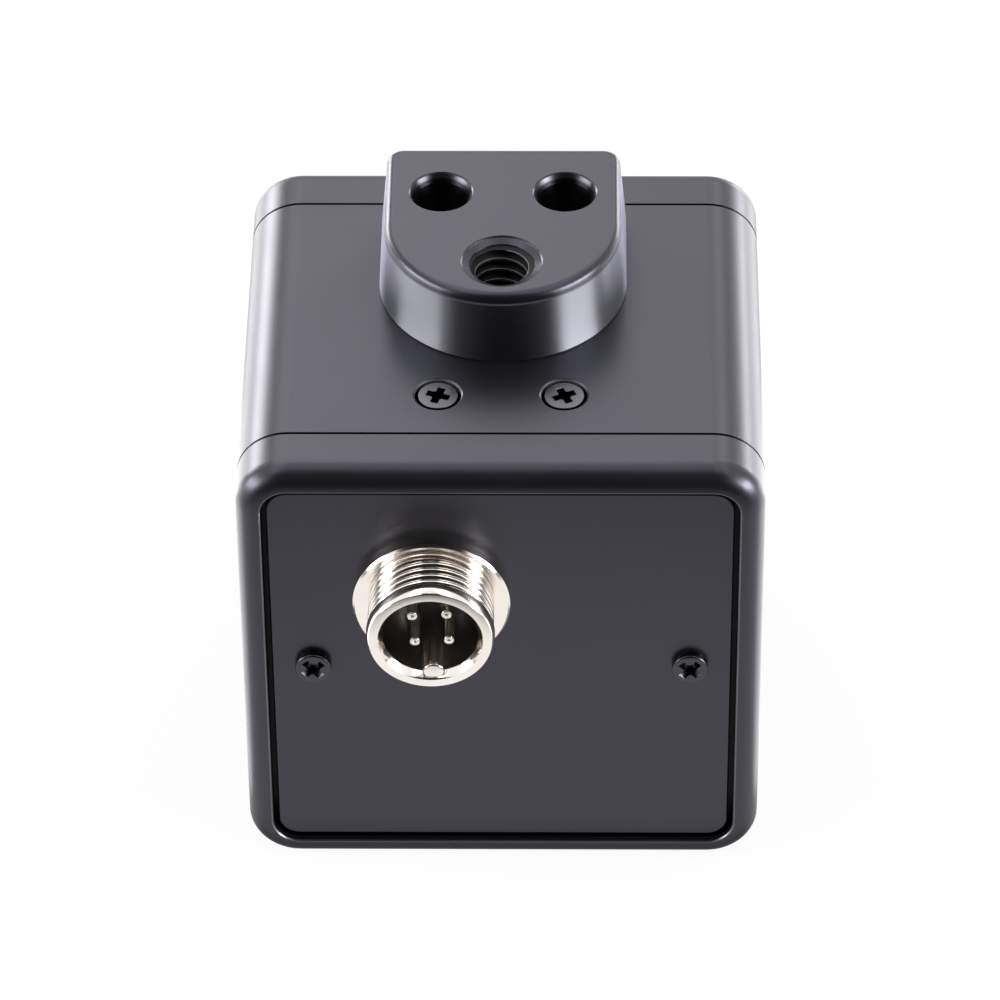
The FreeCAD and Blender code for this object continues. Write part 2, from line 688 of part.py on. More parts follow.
def add_spigot(body):
    """Thin collar that enters the sleeve, notched round the two screw channels."""
    collar = new_sketch(body, "XZ_Plane", body.Label + "_collar", z="-dim.frame_length")
    inset = "dim.sleeve_wall + dim.spigot_clearance"
    for depth in (inset, f"{inset} + dim.spigot_wall"):
        draw_rounded_rectangle(collar, f"dim.case_width - 2 * ({depth})", f"dim.case_height - 2 * ({depth})",
                               f"dim.case_corner_radius - ({depth})")
    add_pad(body, collar, "dim.spigot_length", backwards=True)
    notch = new_sketch(body, "XZ_Plane", body.Label + "_notch", z="-dim.frame_length")
    half = "(dim.boss_diameter / 2 + dim.spigot_clearance)"
    low = f"dim.plate_screw_rise - {half}"
    high = f"dim.plate_screw_rise + {half}"
    outer = "dim.case_width / 2 - dim.sleeve_wall"
    inner = f"{outer} - dim.spigot_clearance - 2 * dim.spigot_wall"
    draw_rectangle(notch, inner, outer, low, high)
    draw_rectangle(notch, f"-({outer})", f"-({inner})", low, high)
    add_pocket(body, notch, "dim.spigot_length")


def make_plate(label, opening_x, opening_z, opening):
    """Cover plate with its outer face at y = 0, two screw holes and one round opening."""
    inset = "(dim.frame_rim + dim.plate_gap)"
    sizes = [f"dim.case_width - 2 * {inset}", f"dim.case_height - 2 * {inset}",
             f"dim.case_corner_radius - {inset}"]
    width, height, corner_radius = sizes
    body = flat_body(label, width, height, "dim.plate_thickness", corner_radius, backwards=True)
    holes = new_sketch(body, "XZ_Plane", label + "_holes")
    for side in ("", "-"):
        draw_circle(holes, side + SCREW_X, "dim.plate_screw_rise", PLATE_SCREW_HOLE)
    draw_circle(holes, opening_x, opening_z, opening)
    add_pocket(body, holes, "dim.plate_thickness")
    outline = [number(size) for size in sizes]
    dress_edges(body, "Chamfer", "dim.plate_chamfer",
                lambda edge: lies_at(edge, "Y", 0) and on_case_outline(edge, *outline))
    return body


def make_case():
    """Sleeve, frames, plates and their screws."""
    connector_hole = "dim.connector_thread_diameter + 2 * dim.connector_clearance"
    lens_hole = f"2 * ({HOLDER_TUBE} + dim.holder_opening_gap)"
    rear_screw = put(pan_screw("rear_plate_screw", "plate_screw", "dim.plate_screw_length"),
                     SCREW_X, f"-{PLATE_FACE}", SCREW_Z, FACING_BACK)
    front_screw = put(pan_screw("front_plate_screw", "plate_screw", "dim.plate_screw_length"),
                      SCREW_X, PLATE_FACE, SCREW_Z, FACING_FRONT)
    return [
        make_body_sleeve(),
        put(make_frame("rear_frame"), y=f"-{HALF_DEPTH}", z=CENTRE),
        put(make_frame("front_frame"), y=HALF_DEPTH, z=CENTRE, rotation=TURNED_ROUND),
        put(make_plate("rear_plate", CONNECTOR_X, "dim.connector_above", connector_hole),
            y=f"-{PLATE_FACE}", z=CENTRE),
        put(make_plate("front_plate", "0", "0", lens_hole), y=PLATE_FACE, z=CENTRE, rotation=TURNED_ROUND),
        mirrored_set("rear_plate_screws", rear_screw, [ACROSS_WIDTH]),
        mirrored_set("front_plate_screws", front_screw, [ACROSS_WIDTH]),
    ]


# Tripod block and the screws in the top wall

def add_block_mouth(body, mouth, hole, depth, x, y):
    """Steep cone at the mouth of a hole in the block's top, with a small lip round it."""
    outline = ((f"{mouth} + dim.block_mouth_lip", "0"), (mouth, "-dim.block_mouth_lip"), (hole, f"-{depth}"))
    return add_countersink(body, outline, x, y, top="dim.block_height")


def make_mount_block():
    """Drafted block with a round nose, two counterbored holes and a blind tripod thread hole."""
    body = new_body("mount_block")
    base = new_sketch(body, "XY_Plane", "block_base")
    draw_nosed_outline(base, "dim.block_width", "-dim.thread_to_nose",
                       "dim.thread_to_pair + dim.pair_to_back", "dim.block_corner_radius")
    add_pad(body, base, "dim.block_height", taper="-dim.block_draft_angle")
    top = number("dim.block_height")
    dress_edges(body, "Fillet", "dim.block_top_radius", lambda edge: lies_at(edge, "Z", top))
    dress_edges(body, "Chamfer", "dim.block_base_chamfer", lambda edge: lies_at(edge, "Z", 0))
    bores = new_sketch(body, "XY_Plane", "block_counterbores", z="dim.block_height")
    drills = new_sketch(body, "XY_Plane", "block_drills", z="dim.block_height")
    for side in ("", "-"):
        draw_circle(bores, f"{side}({PAIR_X})", "dim.thread_to_pair", "dim.counterbore_diameter")
        draw_circle(drills, f"{side}({PAIR_X})", "dim.thread_to_pair", BLOCK_SCREW_HOLE)
    add_pocket(body, bores, "dim.block_height - dim.block_floor")
    add_pocket(body, drills, "dim.block_height")
    thread = new_sketch(body, "XY_Plane", "block_thread", z="dim.block_height")
    draw_circle(thread, "0", "0", "dim.tripod_thread_diameter")
    add_pocket(body, thread, "dim.block_height - dim.tripod_thread_floor")
    add_block_mouth(body, "dim.tripod_sink_diameter / 2", "dim.tripod_thread_diameter / 2",
                    "dim.tripod_sink_depth", "0", "0")
    mouth = add_block_mouth(body, "dim.counterbore_mouth_diameter / 2", "dim.counterbore_diameter / 2",
                            "dim.counterbore_mouth_depth", PAIR_X, "dim.thread_to_pair")
    add_mirror(body, mouth)
    return put(body, y=THREAD_Y, z="dim.case_height")


def make_top_screw():
    """Countersunk screw, its head's top at z = 0, seated in the cone of its hole."""
    head = "dim.top_screw_head_diameter / 2"
    radius = "dim.block_screw_diameter / 2"
    rim = "(dim.countersink_wall + dim.countersink_margin - dim.countersink_gap - dim.top_screw_sink)"
    screw = turned_body("top_screw", (
        ("0", "0"), (head, "0"), (head, f"-{rim}"), (radius, f"{radius} - {head} - {rim}"),
        (radius, "-dim.top_screw_length"), ("0", "-dim.top_screw_length")))
    return put(screw, PAIR_X, REAR_PAIR_Y, "dim.case_height - dim.top_screw_sink")


def make_mount():
    """Tripod block with its two screws, and the two screws behind it."""
    block_screw = put(pan_screw("mount_block_screw", "block_screw", "dim.block_screw_length"),
                      PAIR_X, FRONT_PAIR_Y, "dim.case_height + dim.block_floor")
    return [
        make_mount_block(),
        mirrored_set("mount_block_screws", block_screw, [ACROSS_WIDTH]),
        mirrored_set("top_screws", make_top_screw(), [ACROSS_WIDTH]),
    ]


# Connector: every piece is modelled about its own Z axis, with z = 0 on the rear plate and +Z outwards

def make_connector_shell():
    """Threaded tube with a flange, and a half-round key rib along the bottom of its bore."""
    flange = f"({CONNECTOR_RADIUS} + dim.connector_flange_lip)"
    front = "dim.connector_flange_thickness"
    edge = "dim.connector_flange_chamfer"
    rim = "dim.connector_rim_chamfer"
    mouth = "dim.connector_mouth_chamfer"
    tail = "-dim.connector_rear_length"
    body = turned_body("connector_shell", (
        (CONNECTOR_BORE, tail), (CONNECTOR_RADIUS, tail), (CONNECTOR_RADIUS, "0"), (flange, "0"),
        (flange, f"{front} - {edge}"), (f"{flange} - {edge}", front), (CONNECTOR_RADIUS, front),
        (CONNECTOR_RADIUS, f"{CONNECTOR_RIM} - {rim}"), (f"{CONNECTOR_RADIUS} - {rim}", CONNECTOR_RIM),
        (f"{CONNECTOR_BORE} + {mouth}", CONNECTOR_RIM), (CONNECTOR_BORE, f"{CONNECTOR_RIM} - {mouth}")))
    key = new_sketch(body, "XY_Plane", "key_section", z=INSERT_FRONT)
    draw_circle(key, "0", f"dim.key_rise - {CONNECTOR_BORE}", "2 * dim.key_radius")
    add_pad(body, key, "dim.insert_depth - dim.key_setback")
    return body


def make_connector_insert():
    """Insulator disc with four pin holes."""
    radius = f"{CONNECTOR_BORE} - dim.insert_clearance"
    tail = "-dim.insert_rear_length"
    body = turned_body("connector_insert", (
        ("0", tail), (radius, tail), (radius, INSERT_FRONT), ("0", INSERT_FRONT)))
    holes = new_sketch(body, "XY_Plane", "insert_holes")
    half = "dim.pin_spacing / 2"
    for x in (half, f"-({half})"):
        for y in (half, f"-({half})"):
            draw_circle(holes, x, y, "dim.pin_diameter + 2 * dim.pin_clearance")
    add_pocket(body, holes, both_ways=True)
    return body


def make_connector_pins():
    """Four contact pins, each with a solder cup behind the insulator."""
    body = new_body("connector_pins")
    profile = new_sketch(body, "XZ_Plane", "pin_profile", x="dim.pin_spacing / 2", z="dim.pin_spacing / 2")
    pin = "dim.pin_diameter / 2"
    cup = "dim.solder_cup_diameter / 2"
    tip = f"({CONNECTOR_RIM} - dim.pin_setback)"
    shoulder = "-dim.insert_rear_length"
    draw_polygon(profile, (
        ("0", f"-{CUP_END}"), (cup, f"-{CUP_END}"), (cup, shoulder), (pin, shoulder),
        (pin, f"{tip} - dim.pin_tip_chamfer"), (f"{pin} - dim.pin_tip_chamfer", tip), ("0", tip)))
    add_ring_of(body, add_turning(body, profile), PIN_COUNT)
    return body


def make_connector_washer():
    """Flat washer behind the rear plate."""
    inner = f"{CONNECTOR_RADIUS} + dim.connector_clearance"
    outer = f"{CONNECTOR_RADIUS} + dim.washer_margin"
    near = "-dim.plate_thickness"
    far = "-dim.plate_thickness - dim.washer_thickness"
    return turned_body("connector_washer", ((inner, far), (outer, far), (outer, near), (inner, near)))


def hexagon(label, width, height):
    """Six-sided prism of a width across flats, standing on z = 0."""
    prism = DOC.addObject("Part::Prism", label)
    prism.Polygon = 6
    prism.setExpression("Circumradius", f"({width}) / 2 / cos(30 deg)")
    prism.setExpression("Height", height)
    return prism


def bored(label, blank, diameter, depth):
    """The blank with a round hole of a depth up its own axis."""
    drill = DOC.addObject("Part::Cylinder", label + "_drill")
    drill.setExpression("Radius", f"({diameter}) / 2")
    drill.setExpression("Height", depth)
    cut = DOC.addObject("Part::Cut", label)
    cut.Label = label
    cut.Base = blank
    cut.Tool = drill
    return cut


def make_connector_nut():
    """Thin hexagon nut on the connector's rear thread."""
    fit = "dim.connector_thread_diameter + 2 * dim.connector_clearance"
    blank = hexagon("connector_nut_blank", f"{fit} + 2 * dim.nut_wall", "dim.nut_thickness")
    return bored("connector_nut", blank, fit, "dim.nut_thickness")


def make_connector():
    """Connector pieces, all turned alike in the rear plate."""
    turn = FreeCAD.Rotation(FreeCAD.Vector(0, 0, 1), number("dim.connector_turn"))
    facing = FACING_BACK.multiply(turn)
    pieces = [
        make_connector_shell(),
        make_connector_insert(),
        make_connector_pins(),
        make_connector_washer(),
    ]
    for piece in pieces:
        put(piece, CONNECTOR_X, f"-{PLATE_FACE}", CONNECTOR_Z, facing)
    nut_depth = "dim.plate_thickness + dim.washer_thickness + dim.nut_thickness"
    nut = put(make_connector_nut(), CONNECTOR_X, f"{nut_depth} - {PLATE_FACE}", CONNECTOR_Z, facing)
    return pieces + [nut]


# Circuit board

def make_camera_board():
    """Board with four corner holes and two holes for the lens holder's screws."""
    body = flat_body("camera_board", BOARD_WIDTH, "dim.board_height", "dim.board_thickness",
                     "dim.board_corner_radius")
    holes = new_sketch(body, "XZ_Plane", "board_holes")
    for side in ("", "-"):
        for level in ("", "-"):
            draw_circle(holes, side + BOARD_HOLE_X, level + BOARD_HOLE_Z, BOARD_SCREW_HOLE)
        draw_circle(holes, f"{side}(dim.holder_screw_spacing / 2)", "0", BOARD_SCREW_HOLE)
    add_pocket(body, holes, backwards=True)
    return put(body, y=BOARD_FRONT, z=CENTRE)


def make_board_fixings():
    """Four standoffs clinched in the front plate, and the screws that hold the board on them."""
    blank = hexagon("standoff_blank", "dim.standoff_width", "dim.standoff_length")
    hole_depth = "dim.board_screw_grip + dim.standoff_hole_spare"
    standoff = bored("board_standoff", blank, BOARD_SCREW_HOLE, hole_depth)
    corner_z = f"{CENTRE} + {BOARD_HOLE_Z}"
    put(standoff, BOARD_HOLE_X, BOARD_FRONT, corner_z, FACING_FRONT)
    screw = pan_screw("board_screw", "board_screw", "dim.board_thickness + dim.board_screw_grip")
    put(screw, BOARD_HOLE_X, BOARD_REAR, corner_z, FACING_BACK)
    return [
        mirrored_set("board_standoffs", standoff, [ACROSS_WIDTH, ACROSS_HEIGHT]),
        mirrored_set("board_screws", screw, [ACROSS_WIDTH, ACROSS_HEIGHT]),
    ]


def make_board_chips():
    """Image sensor on the board's front, processor and crystal on its rear."""
    sensor = flat_body("image_sensor", "dim.sensor_size", "dim.sensor_size", "dim.sensor_height",
                       backwards=True)
    processor = flat_body("image_processor", "dim.processor_size", "dim.processor_size",
                          "dim.processor_height")
    crystal = flat_body("clock_crystal", "dim.crystal_width", "dim.crystal_depth", "dim.crystal_height",
                        "dim.crystal_corner_radius")
    processor_z = f"{CENTRE} - dim.processor_below"
    crystal_z = f"{processor_z} - dim.processor_size / 2 - dim.crystal_gap"
    return [
        put(sensor, y=BOARD_FRONT, z=CENTRE),
        put(processor, y=BOARD_REAR, z=processor_z),
        put(crystal, y=BOARD_REAR, z=crystal_z),
    ]


def make_socket_and_plug():
    """Open socket on the board's rear, beside a corner screw, with the wires' plug in it."""
    socket = flat_body("board_socket", "dim.socket_width", "dim.socket_depth", "dim.socket_height")
    cavity = new_sketch(socket, "XZ_Plane", "socket_cavity", z="dim.socket_height")
    half_width = "(dim.socket_width / 2 - dim.socket_wall)"
    half_depth = "(dim.socket_depth / 2 - dim.socket_wall)"
    draw_rectangle(cavity, f"-{half_width}", half_width, f"-{half_depth}", half_depth)
    add_pocket(socket, cavity, "dim.socket_height - dim.socket_floor")
    plug = flat_body("wire_plug", f"2 * ({half_width} - dim.plug_clearance)",
                     f"2 * ({half_depth} - dim.plug_clearance)", "dim.plug_length")
    return [
        put(socket, SOCKET_X, BOARD_REAR, SOCKET_Z),
        put(plug, SOCKET_X, f"{BOARD_REAR} - dim.socket_floor", SOCKET_Z),
    ]


def bent_wire(points, diameter):
    """Round wire along straight runs joined by tangent arcs, as large as the runs allow."""
    path = []
    start = points[0]
    for before, corner, after in zip(points, points[1:], points[2:]):
        arriving = (corner - before).normalize()
        leaving = (after - corner).normalize()
        trim = BEND_SHARE * min(corner.distanceToPoint(before), corner.distanceToPoint(after))
        inward = (leaving - arriving).normalize()
        half_turn = arriving.getAngle(leaving) / 2
        radius = trim / math.tan(half_turn)
        middle = corner + inward * (radius / math.cos(half_turn) - radius)
        path.append(Part.LineSegment(start, corner - arriving * trim).toShape())
        start = corner + leaving * trim
        path.append(Part.Arc(corner - arriving * trim, middle, start).toShape())
    path.append(Part.LineSegment(start, points[-1]).toShape())
    section = Part.Wire(Part.Circle(points[0], points[1] - points[0], diameter / 2).toShape())
    return Part.Wire(path).makePipeShell([section], True, False)


def make_usb_wires():
    """Four wires from the solder cups to the plug, in the order that keeps them apart."""
    half = number("dim.pin_spacing / 2")
    turn = FreeCAD.Rotation(FreeCAD.Vector(0, -1, 0), number("dim.connector_turn"))
    connector = FreeCAD.Vector(number(CONNECTOR_X), number(f"{CUP_END} - {PLATE_FACE}"), number(CONNECTOR_Z))
    plug = FreeCAD.Vector(number(SOCKET_X), number(f"{BOARD_REAR} - dim.socket_floor - dim.plug_length"),
                          number(SOCKET_Z))
    third = FreeCAD.Vector(0, (plug.y - connector.y) / 3, 0)
    corners = ((-1, 1), (-1, -1), (1, -1), (1, 1))
    middle = (len(corners) - 1) / 2
    wires = []
    for place, (side, level) in enumerate(corners):
        start = connector + turn.multVec(FreeCAD.Vector(side * half, 0, level * half))
        end = plug + FreeCAD.Vector((place - middle) * number("dim.wire_pitch"), 0, 0)
        wires.append(bent_wire([start, start + third, end - third, end], number("dim.wire_diameter")))
    bundle = DOC.addObject("Part::Feature", "usb_wires")
    bundle.Label = "usb_wires"
    bundle.Shape = Part.Compound(wires)
    bundle.Placement = FreeCAD.Placement()
    return bundle


def make_board():
    """Circuit board with what is fixed to it."""
    return ([make_camera_board()] + make_board_fixings() + make_board_chips()
            + make_socket_and_plug() + [make_usb_wires()])


# Lens

def make_lens_holder():
    """Holder screwed to the board: a base over the sensor and a threaded tube for the lens."""
    body = flat_body("lens_holder", "dim.holder_screw_spacing + 2 * dim.holder_ear_radius",
                     f"2 * {HOLDER_TUBE}", HOLDER_BASE, "dim.holder_ear_radius", backwards=True)
    tube = new_sketch(body, "XZ_Plane", "holder_tube")
    draw_circle(tube, "0", "0", f"2 * {HOLDER_TUBE}")
    add_pad(body, tube, "dim.holder_height", backwards=True)
    pocket = new_sketch(body, "XZ_Plane", "holder_sensor_pocket")
    half = f"({SENSOR_POCKET} / 2)"
    draw_rectangle(pocket, f"-{half}", half, f"-{half}", half)
    add_pocket(body, pocket, FILTER_SEAT)
    aperture = new_sketch(body, "XZ_Plane", "holder_aperture")
    draw_circle(aperture, "0", "0", "dim.aperture_diameter")
    add_pocket(body, aperture, "dim.holder_height")
    bore = new_sketch(body, "XZ_Plane", "holder_bore", z="-dim.holder_height")
    draw_circle(bore, "0", "0", f"2 * {HOLDER_BORE}")
    add_pocket(body, bore, f"dim.holder_height - {BORE_BOTTOM}", backwards=True)
    holes = new_sketch(body, "XZ_Plane", "holder_screw_holes")
    for side in ("", "-"):
        draw_circle(holes, f"{side}(dim.holder_screw_spacing / 2)", "0", BOARD_SCREW_HOLE)
    add_pocket(body, holes, "dim.holder_screw_grip + dim.holder_hole_spare")
    return put(body, y=BOARD_FRONT, z=CENTRE)


def make_holder_pieces():
    """Holder's two screws and the filter at the top of its sensor pocket."""
    screw = pan_screw("lens_holder_screw", "board_screw", "dim.board_thickness + dim.holder_screw_grip")
    put(screw, "dim.holder_screw_spacing / 2", BOARD_REAR, CENTRE, FACING_BACK)
    filter_size = f"{SENSOR_POCKET} - 2 * dim.filter_clearance"
    ir_filter = flat_body("ir_filter", filter_size, filter_size, "dim.filter_thickness", backwards=True)
    put(ir_filter, y=f"{BOARD_FRONT} + {FILTER_SEAT} - dim.filter_thickness", z=CENTRE)
    return [mirrored_set("lens_holder_screws", screw, [ACROSS_WIDTH]), ir_filter]


def make_lens_barrel():
    """Barrel with a shank for the fine thread, grip grooves round its head and a conical hood."""
    shank = "dim.lens_thread_diameter / 2"
    head = "dim.lens_head_diameter / 2"
    edge = "dim.lens_head_chamfer"
    bore = f"({GLASS_RADIUS} + dim.glass_clearance)"
    lip = f"({GLASS_RADIUS} - dim.glass_lip)"
    body = turned_body("lens_barrel", (
        (lip, LENS_TAIL), (shank, LENS_TAIL), (shank, LENS_SHOULDER), (f"{head} - {edge}", LENS_SHOULDER),
        (head, f"{LENS_SHOULDER} + {edge}"), (head, f"{LENS_FRONT} - {edge}"),
        (f"{head} - {edge}", LENS_FRONT), (f"{head} - dim.hood_wall", LENS_FRONT), (bore, HOOD_FLOOR),
        (bore, REAR_GLASS_SEAT), (lip, REAR_GLASS_SEAT)))
    grip = new_sketch(body, "XY_Plane", "lens_grip", z=f"{LENS_SHOULDER} + 2 * {edge}")
    draw_polygon(grip, ((f"{head} - dim.grip_depth", "0"), (f"{head} + dim.grip_depth", "-dim.grip_width"),
                        (f"{head} + dim.grip_depth", "dim.grip_width")))
    groove = add_pocket(body, grip, "dim.grip_length", backwards=True)
    add_ring_of(body, groove, "dim.grip_count")
    return body


def make_lens_glass(label, edge):
    """Plano-convex lens, its flat face at z = 0."""
    body = new_body(label)
    profile = new_sketch(body, "XZ_Plane", label + "_profile")
    draw_domed_disc(profile, GLASS_RADIUS, edge, f"{GLASS_RADIUS} - dim.glass_rim", "dim.dome_radius")
    add_turning(body, profile)
    return body


def make_lens_ring(label, bottom, top):
    """Thin ring that keeps the glasses in place inside the barrel."""
    inner = f"{GLASS_RADIUS} - dim.lens_ring_wall"
    return turned_body(label, (
        (inner, bottom), (GLASS_RADIUS, bottom), (GLASS_RADIUS, top), (inner, top)))


def make_lock_ring():
    """Ring on the barrel's thread that is tightened against the holder."""
    outer = f"({HOLDER_BORE} + dim.lock_ring_wall)"
    top = "dim.lock_ring_thickness"
    return turned_body("lens_lock_ring", (
        (HOLDER_BORE, "0"), (outer, "0"), (outer, top), (HOLDER_BORE, top)))


def make_lens():
    """Holder, barrel, glasses and rings about the lens axis."""
    pieces = [
        make_lens_barrel(),
        make_lens_ring("lens_spacer", SPACER_SEAT, FRONT_GLASS_SEAT),
        make_lens_ring("lens_retaining_ring", RING_SEAT, HOOD_FLOOR),
        make_lock_ring(),
    ]
    for piece in pieces:
        put(piece, y=HOLDER_FRONT, z=CENTRE, rotation=FACING_FRONT)
    glasses = []
    for label, edge, seat in (("lens_front_glass", "dim.front_glass_edge", FRONT_GLASS_SEAT),
                              ("lens_rear_glass", "dim.rear_glass_edge", REAR_GLASS_SEAT)):
        glass = make_lens_glass(label, edge)
        glasses.append(put(glass, y=f"{HOLDER_FRONT} + {seat}", z=CENTRE, rotation=FACING_FRONT))
    return [make_lens_holder()] + make_holder_pieces() + pieces + glasses


# Checks and files

def check_document():
    """Stop on any object that failed to recompute."""
    DOC.recompute()
    for item in DOC.Objects:
        if any(flag in item.State for flag in ("Invalid", "Error")):
            raise RuntimeError(f"{item.Name} failed: {item.State}")


def write_sub_parts(sub_parts):
    """Write each sub-part to a file of its own, once all of them are sound."""
    check_document()
    for item in sub_parts:
        if item.Shape.isNull() or not item.Shape.isValid():
            raise RuntimeError(f"{item.Label} is not a sound shape")
    os.makedirs("parts", exist_ok=True)
    for item in sub_parts:
        item.Shape.exportStep(f"parts/{item.Label}.step")
        print(f"{item.Label}: {len(item.Shape.Solids)} solid(s), {item.Shape.Volume:.2f} mm3")


write_sub_parts(make_case() + make_mount() + make_connector() + make_board() + make_lens())
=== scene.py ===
"""USB camera in a square black aluminium case: finishes, threads, screw recesses and the studio around it."""

import logging
import math
from dataclasses import dataclass
from enum import Enum
from typing import Any, Callable, Sequence

import bmesh
import bpy
from mathutils import Matrix, Vector


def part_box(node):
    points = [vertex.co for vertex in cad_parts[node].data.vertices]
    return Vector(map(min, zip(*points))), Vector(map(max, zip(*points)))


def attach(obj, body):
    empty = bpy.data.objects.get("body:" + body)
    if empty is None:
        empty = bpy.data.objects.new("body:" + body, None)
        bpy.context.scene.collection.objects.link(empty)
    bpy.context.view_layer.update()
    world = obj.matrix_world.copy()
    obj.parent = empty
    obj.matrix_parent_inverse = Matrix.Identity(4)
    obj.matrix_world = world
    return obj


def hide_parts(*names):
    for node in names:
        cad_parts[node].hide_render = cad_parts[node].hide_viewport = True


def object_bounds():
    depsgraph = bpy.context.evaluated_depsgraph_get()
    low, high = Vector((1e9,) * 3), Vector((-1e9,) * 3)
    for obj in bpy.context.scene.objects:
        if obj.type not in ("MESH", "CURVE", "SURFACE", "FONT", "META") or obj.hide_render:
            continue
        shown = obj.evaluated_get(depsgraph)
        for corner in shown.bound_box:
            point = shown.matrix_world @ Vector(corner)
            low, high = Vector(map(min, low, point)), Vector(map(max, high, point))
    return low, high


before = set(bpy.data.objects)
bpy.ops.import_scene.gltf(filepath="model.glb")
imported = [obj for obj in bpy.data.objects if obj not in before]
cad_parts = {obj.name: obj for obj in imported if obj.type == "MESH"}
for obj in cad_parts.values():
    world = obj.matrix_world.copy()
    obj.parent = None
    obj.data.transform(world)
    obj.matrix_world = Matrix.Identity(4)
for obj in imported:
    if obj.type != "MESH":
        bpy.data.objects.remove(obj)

CAD_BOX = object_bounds()
LOG = logging.getLogger("usb_camera")

Tree = bpy.types.NodeTree
Socket = bpy.types.NodeSocket
Piece = bpy.types.Object
VectorStep = tuple[str, tuple[float, float, float]]

MM = 0.001
MERGE_DISTANCE = 1e-7
ZERO = (0.0, 0.0, 0.0)
LEVEL = (1.0, 1.0, 0.0)
ALONG_CASE = (0.0, 1.0, 0.0)
ACROSS_CASE = (1.0, 0.0, 1.0)

# Lower limit of a band that has none, and a length in metres that no piece reaches
UNLIMITED_MM = -1.0
FAR = 1.0
# Span that most values of a noise texture fall in
NOISE_LOW, NOISE_HIGH = 0.3, 0.7
# Turn of stretched reflections, in rounds, that sets them across the marks
ACROSS_MARKS = 0.25
# Painted shade in a gap: its near-black colour, and how little of the usual reflection a gap keeps
GAP_SHADE_COLOUR = "#020202"
PLAIN_SPECULAR, GAP_SHADE_SPECULAR = 0.5, 0.1


class Body(str, Enum):
    """CAD bodies that pieces ride on."""

    HOUSING = "housing"
    LENS = "lens"


class Facing(Enum):
    """Way that a piece's own +Z axis points once it is in place, as a turn about X in degrees."""

    UP = 0
    BACK = 90
    FRONT = -90

    def turn(self) -> Matrix:
        """Matrix that turns +Z that way."""
        return Matrix.Rotation(math.radians(self.value), 4, "X")


class Head(Enum):
    """Forms of screw head."""

    PAN = "pan"
    COUNTERSUNK = "countersunk"


class Tooling(Enum):
    """What a tool's mesh does to a piece."""

    CUT = "DIFFERENCE"
    ADD = "UNION"


class Joined(Enum):
    """Ways to make one mask of several."""

    SHARED = "MULTIPLY"
    ANY = "MAXIMUM"


# Nodes and colours

def linear(hex_colour: str) -> tuple[float, float, float, float]:
    """Turn an sRGB hex colour into linear values.

    Args:
        hex_colour: Colour such as "#1b1b1d".

    Returns:
        Red, green, blue and an alpha of one.
    """
    channels = [int(hex_colour[place:place + 2], 16) / 255 for place in (1, 3, 5)]
    red, green, blue = (c / 12.92 if c <= 0.04045 else ((c + 0.055) / 1.055) ** 2.4 for c in channels)
    return red, green, blue, 1.0


def wire(node: bpy.types.Node, inputs: dict[Any, Any]) -> None:
    """Give a node's inputs their values or links.

    Args:
        node: Node in a tree.
        inputs: Values, or output sockets to link, by the name or number of the input.
    """
    for name, value in inputs.items():
        if isinstance(value, Socket):
            node.id_data.links.new(value, node.inputs[name])
        else:
            node.inputs[name].default_value = value


def add_node(tree: Tree, kind: str, inputs: dict[Any, Any] | None = None, **settings: Any) -> bpy.types.Node:
    """Add a node with its settings, values and links.

    Args:
        tree: Node tree that the node goes into.
        kind: Blender's name of the node's type.
        inputs: Values, or output sockets to link, by the name or number of the input.
        settings: Properties of the node.

    Returns:
        The new node.
    """
    node = tree.nodes.new(kind)
    for name, value in settings.items():
        setattr(node, name, value)
    wire(node, inputs or {})
    return node


def joined(tree: Tree, way: Joined, *masks: Socket) -> Socket:
    """Make one mask of several.

    Args:
        tree: Node tree that the nodes go into.
        way: Whether a place has to be in all of the masks or in any.
        masks: Masks to join.

    Returns:
        Socket of the whole mask.
    """
    whole = masks[0]
    for mask in masks[1:]:
        whole = add_node(tree, "ShaderNodeMath", {0: whole, 1: mask}, operation=way.value).outputs["Value"]
    return whole


def per_metre(size_mm: float) -> float:
    """Texture scale that gives features of a size in millimetres."""
    return 1 / (size_mm * MM)


@dataclass(frozen=True)
class Layout:
    """Node tree of a material and the coordinates that its patterns are laid out in."""

    tree: Tree
    place: Socket

    def reach(self, *steps: VectorStep) -> Socket:
        """Length that is left of the coordinates once they are shifted, folded or clipped.

        Args:
            steps: Vector operations in order, each with its amount in metres.

        Returns:
            Length socket.
        """
        spot = self.place
        for operation, amount in steps:
            spot = add_node(self.tree, "ShaderNodeVectorMath", {0: spot, 1: amount},
                            operation=operation).outputs["Vector"]
        return add_node(self.tree, "ShaderNodeVectorMath", {0: spot}, operation="LENGTH").outputs["Value"]

    def from_pair(self, x_mm: float, y_mm: float) -> Socket:
        """Distance from the nearer of two upright axes, left and right of the case's middle."""
        return self.reach(("SUBTRACT", (0.0, y_mm * MM, 0.0)), ("MULTIPLY", LEVEL), ("ABSOLUTE", ZERO),
                          ("SUBTRACT", (x_mm * MM, 0.0, 0.0)))

    def band(self, value: Socket, low_mm: float, high_mm: float, edge_mm: float = 0.03) -> Socket:
        """Mask of the places where a length lies between two limits.

        Args:
            value: Length in metres.
            low_mm: Lower limit in millimetres.
            high_mm: Upper limit.
            edge_mm: Width of the soft edge outside each limit.

        Returns:
            Socket that is one between the limits and zero beyond.
        """
        edges = [add_node(self.tree, "ShaderNodeMapRange", {
            "Value": value, "From Min": outer * MM, "From Max": limit * MM}).outputs["Result"]
            for outer, limit in ((low_mm - edge_mm, low_mm), (high_mm + edge_mm, high_mm))]
        return joined(self.tree, Joined.SHARED, *edges)


# Finishes

